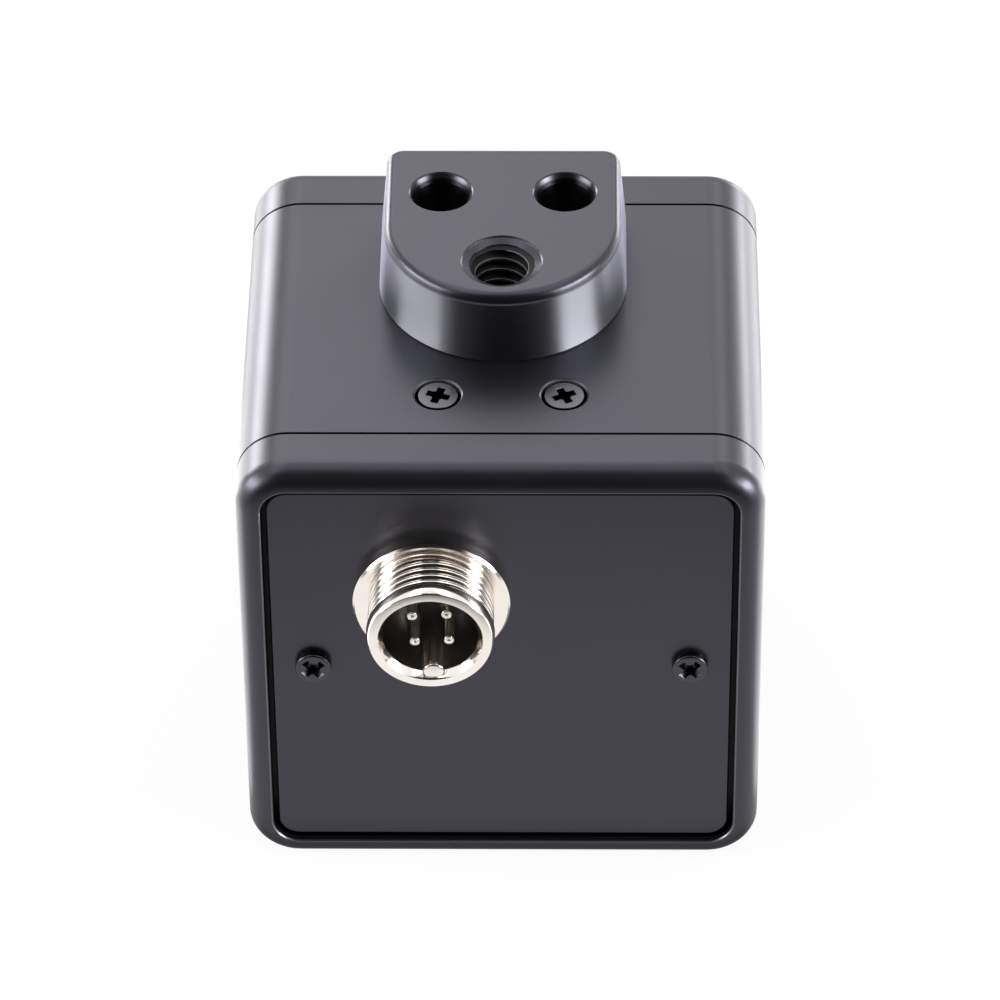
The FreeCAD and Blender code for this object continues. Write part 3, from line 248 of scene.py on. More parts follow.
@dataclass(frozen=True)
class Finish:
    """Finish of a surface, with a fine grain and broader, fainter patches.

    The grain is a bump, and the patches vary the colour and the roughness a little. No grain is drawn finer
    than 0.15 mm, a pixel and a half of the picture, though some real ones are, because it wouldn't show.
    """

    name: str
    colour: str
    patch_colour: str
    roughness: float
    roughness_spread: float
    grain_mm: float
    grain_depth_mm: float
    patch_mm: float = 6.0
    metallic: float = 0.0
    ior: float = 1.5
    sheen_colour: str = "#ffffff"
    painted_highlight_colour: str = "#77777a"
    grain_stretch: tuple[float, float, float] = (1.0, 1.0, 1.0)

    def make(self) -> bpy.types.Material:
        """Make the node material.

        Returns:
            The finished material.
        """
        material = bpy.data.materials.new(self.name)
        material.use_nodes = True
        tree = material.node_tree
        shader = tree.nodes["Principled BSDF"]
        layout = Layout(tree, add_node(tree, "ShaderNodeTexCoord").outputs["Object"])
        patches = add_node(tree, "ShaderNodeTexNoise", {
            "Vector": layout.place, "Scale": per_metre(self.patch_mm), "Detail": 3.0}).outputs["Fac"]
        # Masks of painted highlights and painted shade, from each kind of finish
        painted_highlight, gap = self.painted_highlight(layout), self.gap(layout)
        colour: Any = linear(self.colour)
        for share, other in ((patches, self.patch_colour), (painted_highlight, self.painted_highlight_colour), (gap, GAP_SHADE_COLOUR)):
            if share:
                colour = add_node(tree, "ShaderNodeMix", {"Factor": share, 6: colour, 7: linear(other)},
                                  data_type="RGBA").outputs[2]
        rough = add_node(tree, "ShaderNodeMapRange", {
            "Value": patches, "From Min": NOISE_LOW, "From Max": NOISE_HIGH,
            "To Min": self.roughness - self.roughness_spread,
            "To Max": self.roughness + self.roughness_spread})
        bump = add_node(tree, "ShaderNodeBump", {
            "Height": self.relief(layout), "Strength": 1.0, "Distance": self.grain_depth_mm * MM})
        wire(shader, {"Base Color": colour, "Metallic": painted_highlight or self.metallic, "IOR": self.ior,
                      "Specular Tint": linear(self.sheen_colour), "Roughness": rough.outputs["Result"],
                      "Normal": bump.outputs["Normal"]})
        # Painted shade also takes most of the reflection out of a gap
        if gap:
            dull = add_node(tree, "ShaderNodeMapRange", {
                "Value": gap, "To Min": PLAIN_SPECULAR, "To Max": GAP_SHADE_SPECULAR})
            wire(shader, {"Specular IOR Level": dull.outputs["Result"]})
        self.gloss(shader)
        return material

    def relief(self, layout: Layout) -> Socket:
        """Height of the grain.

        Args:
            layout: Tree and coordinates of the material.

        Returns:
            Height socket.
        """
        stretched = add_node(layout.tree, "ShaderNodeMapping", {
            "Vector": layout.place, "Scale": self.grain_stretch})
        return add_node(layout.tree, "ShaderNodeTexNoise", {
            "Vector": stretched.outputs["Vector"], "Scale": per_metre(self.grain_mm),
            "Detail": 2.0, "Roughness": 0.6}).outputs["Fac"]

    def painted_highlight(self, layout: Layout) -> Socket | None:
        """Mask of painted highlights, where the surface turns to paler bare metal, if there are any."""

    def gap(self, layout: Layout) -> Socket | None:
        """Mask of gaps where shade is painted in, near black and with little reflection, if there are any."""

    def gloss(self, shader: bpy.types.Node) -> None:
        """Leave the shader's other sockets as they are."""


@dataclass(frozen=True)
class CaseFinish(Finish):
    """Finish of the case, with painted shade in its seams and a painted highlight along the lip of each end
    frame.
    """

    centre_z_mm: float = 25.0
    top_mm: float = 50.0
    seam_mm: float = 17.5
    seam_half_mm: float = 0.15
    seam_edge_mm: tuple[float, float] = (0.03, 0.08)
    seam_shine: float = 0.12
    face_mm: float = 23.5
    lip_half_mm: float = 22.6
    lip_corner_mm: float = 2.6
    lip_inside_mm: float = 0.02
    lip_mm: float = 0.13
    lip_depth_mm: float = 0.12
    seat_mm: float = 0.47
    seat_depth_mm: float = 0.75
    sink_mm: tuple[float, float] = (6.0, -11.75)
    sink_radius_mm: float = 2.18
    sink_rim_mm: float = 0.05
    sink_edge_mm: float = 0.08
    sink_depth_mm: float = 2.0
    sink_shine: float = 0.35

    def depth(self, layout: Layout) -> Socket:
        """Distance from the case's middle towards either end."""
        return layout.reach(("MULTIPLY", ALONG_CASE))

    def from_seam(self, layout: Layout) -> Socket:
        """Distance from the nearer seam."""
        return layout.reach(("MULTIPLY", ALONG_CASE), ("ABSOLUTE", ZERO),
                            ("SUBTRACT", (0.0, self.seam_mm * MM, 0.0)))

    def beside_lip(self, layout: Layout, inwards_mm: float, outwards_mm: float) -> Socket:
        """Band along the rounded square of the lip.

        Args:
            layout: Tree and coordinates of the material.
            inwards_mm: How far the band reaches into the square.
            outwards_mm: How far it reaches out of the square.

        Returns:
            Mask socket.
        """
        straight = (self.lip_half_mm - self.lip_corner_mm) * MM
        from_corner = layout.reach(
            ("SUBTRACT", (0.0, 0.0, self.centre_z_mm * MM)), ("MULTIPLY", ACROSS_CASE), ("ABSOLUTE", ZERO),
            ("SUBTRACT", (straight, 0.0, straight)), ("MAXIMUM", ZERO))
        return layout.band(from_corner, self.lip_corner_mm - inwards_mm, self.lip_corner_mm + outwards_mm)

    def round_sink(self, layout: Layout, inner_mm: float, outer_mm: float) -> Socket:
        """Ring about each of the two screws in the case's top.

        Args:
            layout: Tree and coordinates of the material.
            inner_mm: Inner radius of the ring.
            outer_mm: Outer radius.

        Returns:
            Mask socket.
        """
        height = add_node(layout.tree, "ShaderNodeSeparateXYZ", {"Vector": layout.place}).outputs["Z"]
        upper = layout.band(height, self.top_mm - self.sink_depth_mm, self.top_mm)
        ring = layout.band(layout.from_pair(*self.sink_mm), inner_mm, outer_mm)
        return joined(layout.tree, Joined.SHARED, ring, upper)

    def painted_highlight(self, layout: Layout) -> Socket:
        """Painted highlight along the lip of the frame, and a fainter painted highlight on the seams' and
        sinks' edges.

        Args:
            layout: Tree and coordinates of the material.

        Returns:
            Mask socket.
        """
        edge = self.beside_lip(layout, self.lip_inside_mm, self.lip_mm)
        face = layout.band(self.depth(layout), self.face_mm - self.lip_depth_mm, self.face_mm)
        edge_highlight = joined(layout.tree, Joined.SHARED, edge, face)
        seam = layout.band(self.from_seam(layout), *(self.seam_half_mm + past for past in self.seam_edge_mm))
        rim = self.sink_radius_mm + self.sink_rim_mm
        sink = self.round_sink(layout, rim, rim + self.sink_edge_mm)
        # Fainter painted highlights on the seams' and sinks' edges
        for trace, shine in ((seam, self.seam_shine), (sink, self.sink_shine)):
            edge_highlight = add_node(layout.tree, "ShaderNodeMath", {0: trace, 1: shine, 2: edge_highlight},
                            operation="MULTIPLY_ADD").outputs["Value"]
        return edge_highlight

    def gap(self, layout: Layout) -> Socket:
        """Painted shade in the seams, on the ledge and wall round the end plates, and in the sinks of the top
        screws.

        Args:
            layout: Tree and coordinates of the material.

        Returns:
            Mask socket.
        """
        beside = self.beside_lip(layout, self.seat_mm, self.lip_inside_mm)
        below = layout.band(self.depth(layout), self.seam_mm, self.face_mm - self.seat_depth_mm)
        seat = joined(layout.tree, Joined.SHARED, beside, below)
        seam = layout.band(self.from_seam(layout), UNLIMITED_MM, self.seam_half_mm)
        sink = self.round_sink(layout, UNLIMITED_MM, self.sink_radius_mm)
        return joined(layout.tree, Joined.ANY, seat, seam, sink)


@dataclass(frozen=True)
class FlushFinish(Finish):
    """Finish of a flush screw, with painted shade, near black, in its recess and everywhere below its face.
    """

    face_mm: float = 0.0
    shade_inset_mm: float = 0.06

    def gap(self, layout: Layout) -> Socket:
        """Painted shade on everything below the face."""
        height = add_node(layout.tree, "ShaderNodeSeparateXYZ", {"Vector": layout.place}).outputs["Z"]
        return layout.band(height, 0.0, self.face_mm - self.shade_inset_mm)


@dataclass(frozen=True)
class TappedFinish(Finish):
    """Finish of a tapped hole about an upright axis, with a painted highlight, as paler bare metal, on its
    crests.
    """

    axis_y_mm: float = 0.0
    crest_mm: float = 1.0

    def painted_highlight(self, layout: Layout) -> Socket:
        """Painted highlight on the crests of the thread."""
        return layout.band(layout.from_pair(0.0, self.axis_y_mm), 0.0, self.crest_mm)


@dataclass(frozen=True)
class TurnedFinish(Finish):
    """Finish with the fine concentric marks of a lathe tool about an axis along Y."""

    axis_x_mm: float = 0.0
    axis_z_mm: float = 0.0
    mark_mm: float = 0.2
    mark_wobble: float = 1.5
    stretch: float = 0.9

    def from_axis(self, tree: Tree) -> Socket:
        """Object coordinates measured from the axis.

        Args:
            tree: Node tree of the material.

        Returns:
            Vector socket.
        """
        place = add_node(tree, "ShaderNodeTexCoord").outputs["Object"]
        return add_node(tree, "ShaderNodeMapping", {
            "Vector": place, "Location": (-self.axis_x_mm * MM, 0.0, -self.axis_z_mm * MM)}).outputs["Vector"]

    def gloss(self, shader: bpy.types.Node) -> None:
        """Stretch the reflections across the marks.

        Args:
            shader: Shader of the material.
        """
        tree = shader.id_data
        round_axis = add_node(tree, "ShaderNodeVectorMath", {0: self.from_axis(tree), 1: ALONG_CASE},
                              operation="CROSS_PRODUCT").outputs["Vector"]
        tangent = add_node(tree, "ShaderNodeVectorMath", {0: round_axis}, operation="NORMALIZE")
        wire(shader, {"Tangent": tangent.outputs["Vector"], "Anisotropic": self.stretch,
                      "Anisotropic Rotation": ACROSS_MARKS})

    def relief(self, layout: Layout) -> Socket:
        """Rings about the axis, broken up a little.

        Args:
            layout: Tree and coordinates of the material.

        Returns:
            Height socket.
        """
        # The wave repeats every pi / 10 units at a scale of one
        return add_node(layout.tree, "ShaderNodeTexWave", {
            "Vector": self.from_axis(layout.tree), "Scale": per_metre(self.mark_mm) * math.pi / 10,
            "Distortion": self.mark_wobble, "Detail": 2.0, "Detail Scale": 1.0},
            wave_type="RINGS", rings_direction="Y", wave_profile="SIN").outputs["Fac"]


@dataclass(frozen=True)
class MilledFinish(Finish):
    """Finish of a block with a round nose, whose sides carry cutter marks and a painted sheen of paler bare
    metal.
    """

    stretch: float = 1.0
    side_roughness: float = 0.34
    side_below: float = 0.3
    level_above: float = 0.7
    foot_mm: float = 50.15
    side_mm: float = 56.4
    side_edge_mm: float = 0.3
    nose_y_mm: float = 5.0
    nose_mm: float = 10.6
    back_mm: float = 16.2
    hole_mm: tuple[float, float] = (6.0, 9.75)
    hole_radius_mm: float = 2.85
    hole_top_mm: float = 57.0
    hole_edge_mm: float = 0.2

    def painted_highlight(self, layout: Layout) -> Socket:
        """Painted sheen on the sides of the block, as paler bare metal, without the walls of its holes.

        Args:
            layout: Tree and coordinates of the material.

        Returns:
            Mask socket.
        """
        parts = add_node(layout.tree, "ShaderNodeSeparateXYZ", {"Vector": layout.place}).outputs
        side = layout.band(parts["Z"], self.foot_mm, self.side_mm, self.side_edge_mm)
        # The clip leaves only the distance across where a place lies behind the nose's centre
        from_middle = layout.reach(("SUBTRACT", (0.0, self.nose_y_mm * MM, 0.0)),
                                   ("MINIMUM", (FAR, 0.0, FAR)), ("MULTIPLY", LEVEL))
        nose = layout.band(from_middle, self.nose_mm, 2 * self.nose_mm)
        back = layout.band(parts["Y"], self.back_mm, 2 * self.back_mm)
        outer = joined(layout.tree, Joined.ANY, nose, back)
        return joined(layout.tree, Joined.SHARED, side, outer)

    def gap(self, layout: Layout) -> Socket:
        """Painted shade on the walls of the two screw holes below their mouths.

        Args:
            layout: Tree and coordinates of the material.

        Returns:
            Mask socket.
        """
        height = add_node(layout.tree, "ShaderNodeSeparateXYZ", {"Vector": layout.place}).outputs["Z"]
        deep = layout.band(height, self.foot_mm, self.hole_top_mm, self.hole_edge_mm)
        inside = layout.band(layout.from_pair(*self.hole_mm), UNLIMITED_MM, self.hole_radius_mm)
        return joined(layout.tree, Joined.SHARED, deep, inside)

    def gloss(self, shader: bpy.types.Node) -> None:
        """Stretch the reflections where the surface stands upright.

        Args:
            shader: Shader of the material.
        """
        tree = shader.id_data
        normal = add_node(tree, "ShaderNodeTexCoord").outputs["Normal"]
        rise = add_node(tree, "ShaderNodeSeparateXYZ", {"Vector": normal}).outputs["Z"]
        stretch, rough = (add_node(tree, "ShaderNodeMapRange", {
            "Value": rise, "From Min": self.side_below, "From Max": self.level_above,
            "To Min": on_side, "To Max": on_top}).outputs["Result"]
            for on_side, on_top in ((self.stretch, 0.0), (self.side_roughness, self.roughness)))
        tangent = add_node(tree, "ShaderNodeTangent", direction_type="RADIAL", axis="Z")
        wire(shader, {"Roughness": rough, "Anisotropic": stretch, "Tangent": tangent.outputs["Tangent"],
                      "Anisotropic Rotation": ACROSS_MARKS})


@dataclass(frozen=True)
class LaminateFinish(Finish):
    """Green solder mask over copper tracks, glossy as cured lacquer is."""

    track_mm: float = 1.2
    track_width: float = 0.06
    coat: float = 0.5
    coat_roughness: float = 0.15

    def relief(self, layout: Layout) -> Socket:
        """Tracks that stand a little proud under the mask.

        Args:
            layout: Tree and coordinates of the material.

        Returns:
            Height socket.
        """
        flat = add_node(layout.tree, "ShaderNodeMapping", {
            "Vector": layout.place, "Rotation": (math.pi / 2, 0.0, 0.0)}).outputs["Vector"]
        # A row of bricks is a quarter of a unit high at a scale of one
        return add_node(layout.tree, "ShaderNodeTexBrick", {
            "Vector": flat, "Scale": per_metre(self.track_mm) / 4,
            "Mortar Size": self.track_width}).outputs["Fac"]

    def gloss(self, shader: bpy.types.Node) -> None:
        """Clear lacquer on top."""
        wire(shader, {"Coat Weight": self.coat, "Coat Roughness": self.coat_roughness})


@dataclass(frozen=True)
class GlassFinish(Finish):
    """Polished optical glass with a thin anti-reflection film."""

    film_nm: float = 115.0
    film_ior: float = 1.38

    def gloss(self, shader: bpy.types.Node) -> None:
        """Clear glass under the film."""
        wire(shader, {"Transmission Weight": 1.0, "Thin Film Thickness": self.film_nm,
                      "Thin Film IOR": self.film_ior})


# Aluminium, bead-blasted and dyed black in the anodising bath: near black, with a soft grey sheen. What shows
# is the dyed oxide film, so it reflects as a mineral does and not as bare metal
CASE_BLACK = CaseFinish("aluminium_blasted_black_anodised", "#0a0a0b", "#0d0d0f", roughness=0.34,
                        roughness_spread=0.015, grain_mm=0.16, grain_depth_mm=0.003, ior=1.66,
                        sheen_colour="#ebe9ff")
# The same dye on a milled block: a tighter sheen with faint cutter marks round its sides, a painted sheen of
# paler metal on the sides and painted shade in the screw holes
BLOCK_BLACK = MilledFinish("aluminium_milled_black_anodised", "#0b0b0d", "#0f0f11", roughness=0.3,
                           roughness_spread=0.04, grain_mm=0.15, grain_depth_mm=0.008, ior=1.66,
                           sheen_colour="#ebe9ff", painted_highlight_colour="#7a7a81")
# The same dye in the tapped hole: dull flanks, and thin crests with a painted highlight
THREAD_BLACK = TappedFinish("aluminium_tapped_black_anodised", "#060607", "#0a0a0b", roughness=0.5,
                            roughness_spread=0.05, grain_mm=0.2, grain_depth_mm=0.004, ior=1.3,
                            painted_highlight_colour="#8a8a8e", axis_y_mm=-1.0, crest_mm=2.58)
# Steel with a black oxide skin: dark metal whose edges glint
SCREW_BLACK = Finish("steel_black_oxide", "#454449", "#504f55", roughness=0.26, roughness_spread=0.06,
                     grain_mm=0.25, grain_depth_mm=0.003, patch_mm=1.0, metallic=1.0)
# Steel with a thin black zinc coat, rubbed to a soft grey on top; the black in the recess and below the face
# is painted shade
SCREW_GREY = FlushFinish("steel_grey_zinc", "#5f5f63", "#6c6c70", roughness=0.45, roughness_spread=0.06,
                         grain_mm=0.25, grain_depth_mm=0.003, patch_mm=1.0, metallic=1.0, face_mm=49.88)
# Steel with bright zinc: pale grey with a soft shine
SCREW_BRIGHT = Finish("steel_bright_zinc", "#a9adb0", "#b9bcbd", roughness=0.28, roughness_spread=0.06,
                      grain_mm=0.3, grain_depth_mm=0.003, patch_mm=1.0, metallic=1.0)
# Brass turned and plated with nickel: a warm white mirror with lathe marks
NICKEL = TurnedFinish("brass_nickel_plated", "#f9f2eb", "#f2eae2", roughness=0.13, roughness_spread=0.03,
                      grain_mm=0.3, grain_depth_mm=0.0006, patch_mm=2.0, metallic=1.0,
                      axis_x_mm=-6.6, axis_z_mm=34.35, mark_mm=0.15, stretch=0.3)
# Glass-filled nylon, moulded: brown-black and faintly shiny
INSULATOR = Finish("nylon_brown_black_moulded", "#120d0b", "#1a1310", roughness=0.4, roughness_spread=0.05,
                   grain_mm=0.2, grain_depth_mm=0.004, patch_mm=2.0, ior=1.53)
# Brass contact with silver plate: bright and soft-edged
SILVER = Finish("brass_silver_plated", "#ebe8e1", "#dcd8d0", roughness=0.15, roughness_spread=0.03,
                grain_mm=0.2, grain_depth_mm=0.0004, patch_mm=1.0, metallic=1.0)
# Fibreglass board under green lacquer: deep green and glossy, its tracks showing as low ridges
LAMINATE = LaminateFinish("fibreglass_green_lacquered", "#0d4a2b", "#115634", roughness=0.35,
                          roughness_spread=0.05, grain_mm=0.4, grain_depth_mm=0.03, patch_mm=3.0)
# Brass bar, turned and left bare: yellow, with fine lines along it
BRASS = Finish("brass_turned", "#c9a24e", "#b8923f", roughness=0.25, roughness_spread=0.06,
               grain_mm=0.3, grain_depth_mm=0.003, patch_mm=2.0, metallic=1.0,
               grain_stretch=(1.0, 0.1, 1.0))
# Epoxy moulded round a chip: matt charcoal
EPOXY = Finish("epoxy_charcoal_moulded", "#1b1c1e", "#232426", roughness=0.55, roughness_spread=0.06,
               grain_mm=0.15, grain_depth_mm=0.005, patch_mm=2.0)
# Drawn steel can of the crystal, nickel plated: a soft silver
CRYSTAL_CAN = Finish("steel_can_nickel_plated", "#c3c2be", "#b4b3ae", roughness=0.24, roughness_spread=0.05,
                     grain_mm=0.3, grain_depth_mm=0.003, patch_mm=1.5, metallic=1.0)
# Nylon moulded in its natural colour: ivory and faintly waxy
IVORY = Finish("nylon_ivory_moulded", "#dcd3bd", "#d2c8b0", roughness=0.45, roughness_spread=0.05,
               grain_mm=0.25, grain_depth_mm=0.005, patch_mm=2.0, ior=1.53)
# Soft vinyl drawn over the wires: off-white with a dull shine
VINYL = Finish("vinyl_white_drawn", "#c9c8c4", "#bdbcb8", roughness=0.4, roughness_spread=0.05,
               grain_mm=0.3, grain_depth_mm=0.004, patch_mm=2.0)
# Glass-filled plastic of the lens holder: matt black
HOLDER_PLASTIC = Finish("nylon_black_moulded", "#141415", "#1b1b1c", roughness=0.5, roughness_spread=0.05,
                        grain_mm=0.2, grain_depth_mm=0.006, patch_mm=3.0, ior=1.53)
# Aluminium barrel turned on a lathe and anodised: fine rings in a black sheen
LENS_BLACK = TurnedFinish("aluminium_turned_black_anodised", "#151517", "#1c1c1e", roughness=0.34,
                          roughness_spread=0.04, grain_mm=0.2, grain_depth_mm=0.006, ior=1.65,
                          axis_z_mm=25.0, mark_mm=0.3)
# Crown glass, polished, with a violet anti-reflection film
LENS_GLASS = GlassFinish("crown_glass_polished_coated", "#f4f8f6", "#eef4f2", roughness=0.02,
                         roughness_spread=0.005, grain_mm=2.0, grain_depth_mm=0.0002, ior=1.52)
# Thin filter glass with a rose cast from its infrared mirror
FILTER_GLASS = GlassFinish("filter_glass_infrared_coated", "#d9ecec", "#cfe6e8", roughness=0.02,
                           roughness_spread=0.005, grain_mm=2.0, grain_depth_mm=0.0002, ior=1.52,
                           film_nm=240.0, film_ior=2.1)


class Finishes:
    """Materials made so far, one for each finish."""

    def __init__(self) -> None:
        """Start with none."""
        self.made: dict[str, bpy.types.Material] = {}

    def of(self, finish: Finish) -> bpy.types.Material:
        """Find the material of a finish, or make it at its first use.

        Args:
            finish: Finish that is wanted.

        Returns:
            The only material of that finish.
        """
        if finish.name not in self.made:
            self.made[finish.name] = finish.make()
        return self.made[finish.name]


FINISHES = Finishes()


def dress_nodes(finish: Finish, *names: str) -> None:
    """Give CAD nodes a finish.

    Args:
        finish: Finish of every face of the nodes.
        names: CAD nodes.
    """
    for name in names:
        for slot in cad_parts[name].material_slots:
            slot.material = FINISHES.of(finish)
        LOG.info("%s: %s", name, finish.name)


# Modelling by hand

def deselect_all() -> None:
    """Leave edit mode and select nothing."""
    if bpy.context.object and bpy.context.object.mode == "EDIT":
        bpy.ops.object.mode_set(mode="OBJECT")
    bpy.ops.object.select_all(action="DESELECT")


def activate(piece: Piece) -> None:
    """Select one piece alone and make it active.

    Args:
        piece: Piece to act on.
    """
    deselect_all()
    piece.select_set(True)
    bpy.context.view_layer.objects.active = piece


def pick_edges(piece: Piece, wanted: Callable[[bmesh.types.BMEdge], bool]) -> None:
    """Select the edges of the piece in edit mode that a test picks.

    Args:
        piece: Piece that is in edit mode.
        wanted: Test of an edge by its place.
    """
    bpy.ops.mesh.select_mode(type="EDGE")
    bpy.ops.mesh.select_all(action="DESELECT")
    mesh = bmesh.from_edit_mesh(piece.data)
    for edge in mesh.edges:
        edge.select_set(wanted(edge))
    bmesh.update_edit_mesh(piece.data)


def extrude(step: Sequence[float]) -> None:
    """Extrude what is selected by a step in metres."""
    bpy.ops.mesh.extrude_region_move(TRANSFORM_OT_translate={"value": tuple(step)})


def combine(piece: Piece, tool: Piece, way: Tooling) -> None:
    """Cut a tool from a piece, or join it to the piece, and remove the tool.

    Args:
        piece: Piece that stays.
        tool: Closed mesh that goes.
        way: What the tool does to the piece.
    """
    modifier = piece.modifiers.new("tool", "BOOLEAN")
    modifier.operation = way.value
    modifier.solver = "EXACT"
    modifier.object = tool
    activate(piece)
    bpy.ops.object.modifier_apply(modifier=modifier.name)
    bpy.data.objects.remove(tool)


def put(piece: Piece, place: Matrix) -> None:
    """Move a piece and write its place into its mesh.

    Args:
        piece: Piece modelled about the origin.
        place: Its place in the frame that all pieces share.
    """
    piece.matrix_world = place
    activate(piece)
    bpy.ops.object.transform_apply(location=True, rotation=True, scale=True)


def seal(merge: bool = True) -> None:
    """Turn all faces of the mesh in edit mode outwards and leave edit mode.

    Args:
        merge: True to merge doubled corners first.
    """
    bpy.ops.mesh.select_all(action="SELECT")
    if merge:
        bpy.ops.mesh.remove_doubles(threshold=MERGE_DISTANCE)
    bpy.ops.mesh.normals_make_consistent(inside=False)
    bpy.ops.object.mode_set(mode="OBJECT")


def duplicate(piece: Piece, name: str) -> Piece:
    """Copy a piece with a mesh of its own.

    Args:
        piece: Piece to copy.
        name: Name of the copy.

    Returns:
        The copy.
    """
    activate(piece)
    bpy.ops.object.duplicate(linked=False)
    copy = bpy.context.object
    copy.name = name
    copy.data.name = name
    return copy


def complete(piece: Piece, finish: Finish, body: Body = Body.HOUSING,
             replaced: str | None = None, smooth_degrees: float = 35.0) -> None:
    """Shade a piece, give it its finish and fix it to its body.

    Args:
        piece: Piece in its place.
        finish: Its finish.
        body: CAD body that it rides on.
        replaced: CAD node that it stands for.
        smooth_degrees: Edges sharper than this stay sharp.
    """
    activate(piece)
    bpy.ops.object.mode_set(mode="EDIT")
    seal()
    bpy.ops.object.shade_smooth_by_angle(angle=math.radians(smooth_degrees))
    piece.data.materials.clear()
    piece.data.materials.append(FINISHES.of(finish))
    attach(piece, body.value)
    if replaced:
        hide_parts(replaced)
    LOG.info("%s: %s, %d faces", piece.name, finish.name, len(piece.data.polygons))


class Turning:
    """Piece turned about +Z: a ring is extruded and scaled from step to step, as a lathe would go."""

    def __init__(self, name: str, radius: float, height: float, solid: bool = True, steps: int = 64) -> None:
        """Start with one ring in edit mode.

        Args:
            name: Name of the piece.
            radius: Radius of the ring, in millimetres as all sizes here.
            height: Height of the ring.
            solid: False for a tube, whose profile ends where it starts.
            steps: Corners of the ring.
        """
        deselect_all()
        bpy.ops.mesh.primitive_circle_add(vertices=steps, radius=radius * MM, location=(0, 0, height * MM),
                                          fill_type="NGON" if solid else "NOTHING")
        self.piece = bpy.context.object
        self.piece.name = name
        self.piece.data.name = name
        bpy.ops.object.transform_apply(location=True)
        bpy.ops.object.mode_set(mode="EDIT")
        bpy.ops.mesh.select_all(action="SELECT")
        self.radius, self.height = radius, height

    def to(self, *steps: tuple[float, float]) -> "Turning":
        """Carry the ring on through a profile.

        Args:
            steps: Radius and height of each next ring.

        Returns:
            The same turning.
        """
        for radius, height in steps:
            extrude((0, 0, (height - self.height) * MM))
            share = radius / self.radius
            bpy.ops.transform.resize(value=(share, share, 1), center_override=(0, 0, 0))
            self.radius, self.height = radius, height
        return self

    def round_over(self, radius: float, height: float, steps: int = 6) -> "Turning":
        """Carry the ring on along a quarter round, from upright to level.

        Args:
            radius: Radius where the round ends.
            height: Height where the round ends.
            steps: Rings of the round.

        Returns:
            The same turning.
        """
        start_radius, start_height = self.radius, self.height
        for step in range(1, steps + 1):
            angle = math.pi / 2 * step / steps
            self.to((start_radius + (radius - start_radius) * (1 - math.cos(angle)),
                     start_height + (height - start_height) * math.sin(angle)))
        return self

    def done(self) -> Piece:
        """Close the finished piece and leave edit mode."""
        seal()
        return self.piece


@dataclass
class Helix:
    """Ridge of a screw thread about +Z, in millimetres."""

    root: float
    crest: float
    pitch: float
    start: float
    end: float
    root_share: float = 0.88
    crest_share: float = 0.14
    crest_round: float = 0.0
    crest_segments: int = 3
    steps: int = 72

    def build(self, name: str) -> Piece:
        """Wind the ridge's section up the thread.

        Args:
            name: Name of the piece.

        Returns:
            Closed mesh of the ridge.
        """
        deselect_all()
        middle = (self.root + self.crest) / 2
        bpy.ops.mesh.primitive_plane_add(size=MM, location=(middle * MM, 0, self.start * MM),
                                         rotation=(math.pi / 2, 0, 0))
        ridge = bpy.context.object
        ridge.name = name
        ridge.scale = (abs(self.crest - self.root), self.pitch * self.root_share, 1)
        bpy.ops.object.transform_apply(location=True, rotation=True, scale=True)
        bpy.ops.object.mode_set(mode="EDIT")
        outward = 1 if self.crest > self.root else -1
        pick_edges(ridge, lambda edge: all((v.co.x - middle * MM) * outward > 0 for v in edge.verts))
        bpy.ops.transform.resize(value=(1, 1, self.crest_share / self.root_share),
                                 center_override=(self.crest * MM, 0, self.start * MM))
        if self.crest_round:
            bpy.ops.mesh.bevel(offset=self.crest_round * MM, segments=self.crest_segments, affect="VERTICES")
        bpy.ops.mesh.select_all(action="SELECT")
        bpy.ops.mesh.delete(type="ONLY_FACE")
        bpy.ops.object.mode_set(mode="OBJECT")
        screw = ridge.modifiers.new("thread", "SCREW")
        screw.axis = "Z"
        screw.screw_offset = self.pitch * MM
        screw.iterations = math.ceil((self.end - self.start) / self.pitch)
        screw.steps = screw.render_steps = self.steps
        activate(ridge)
        bpy.ops.object.modifier_apply(modifier=screw.name)
        bpy.ops.object.mode_set(mode="EDIT")
        bpy.ops.mesh.select_all(action="SELECT")
        bpy.ops.mesh.fill_holes(sides=0)
        seal(merge=False)
        return ridge


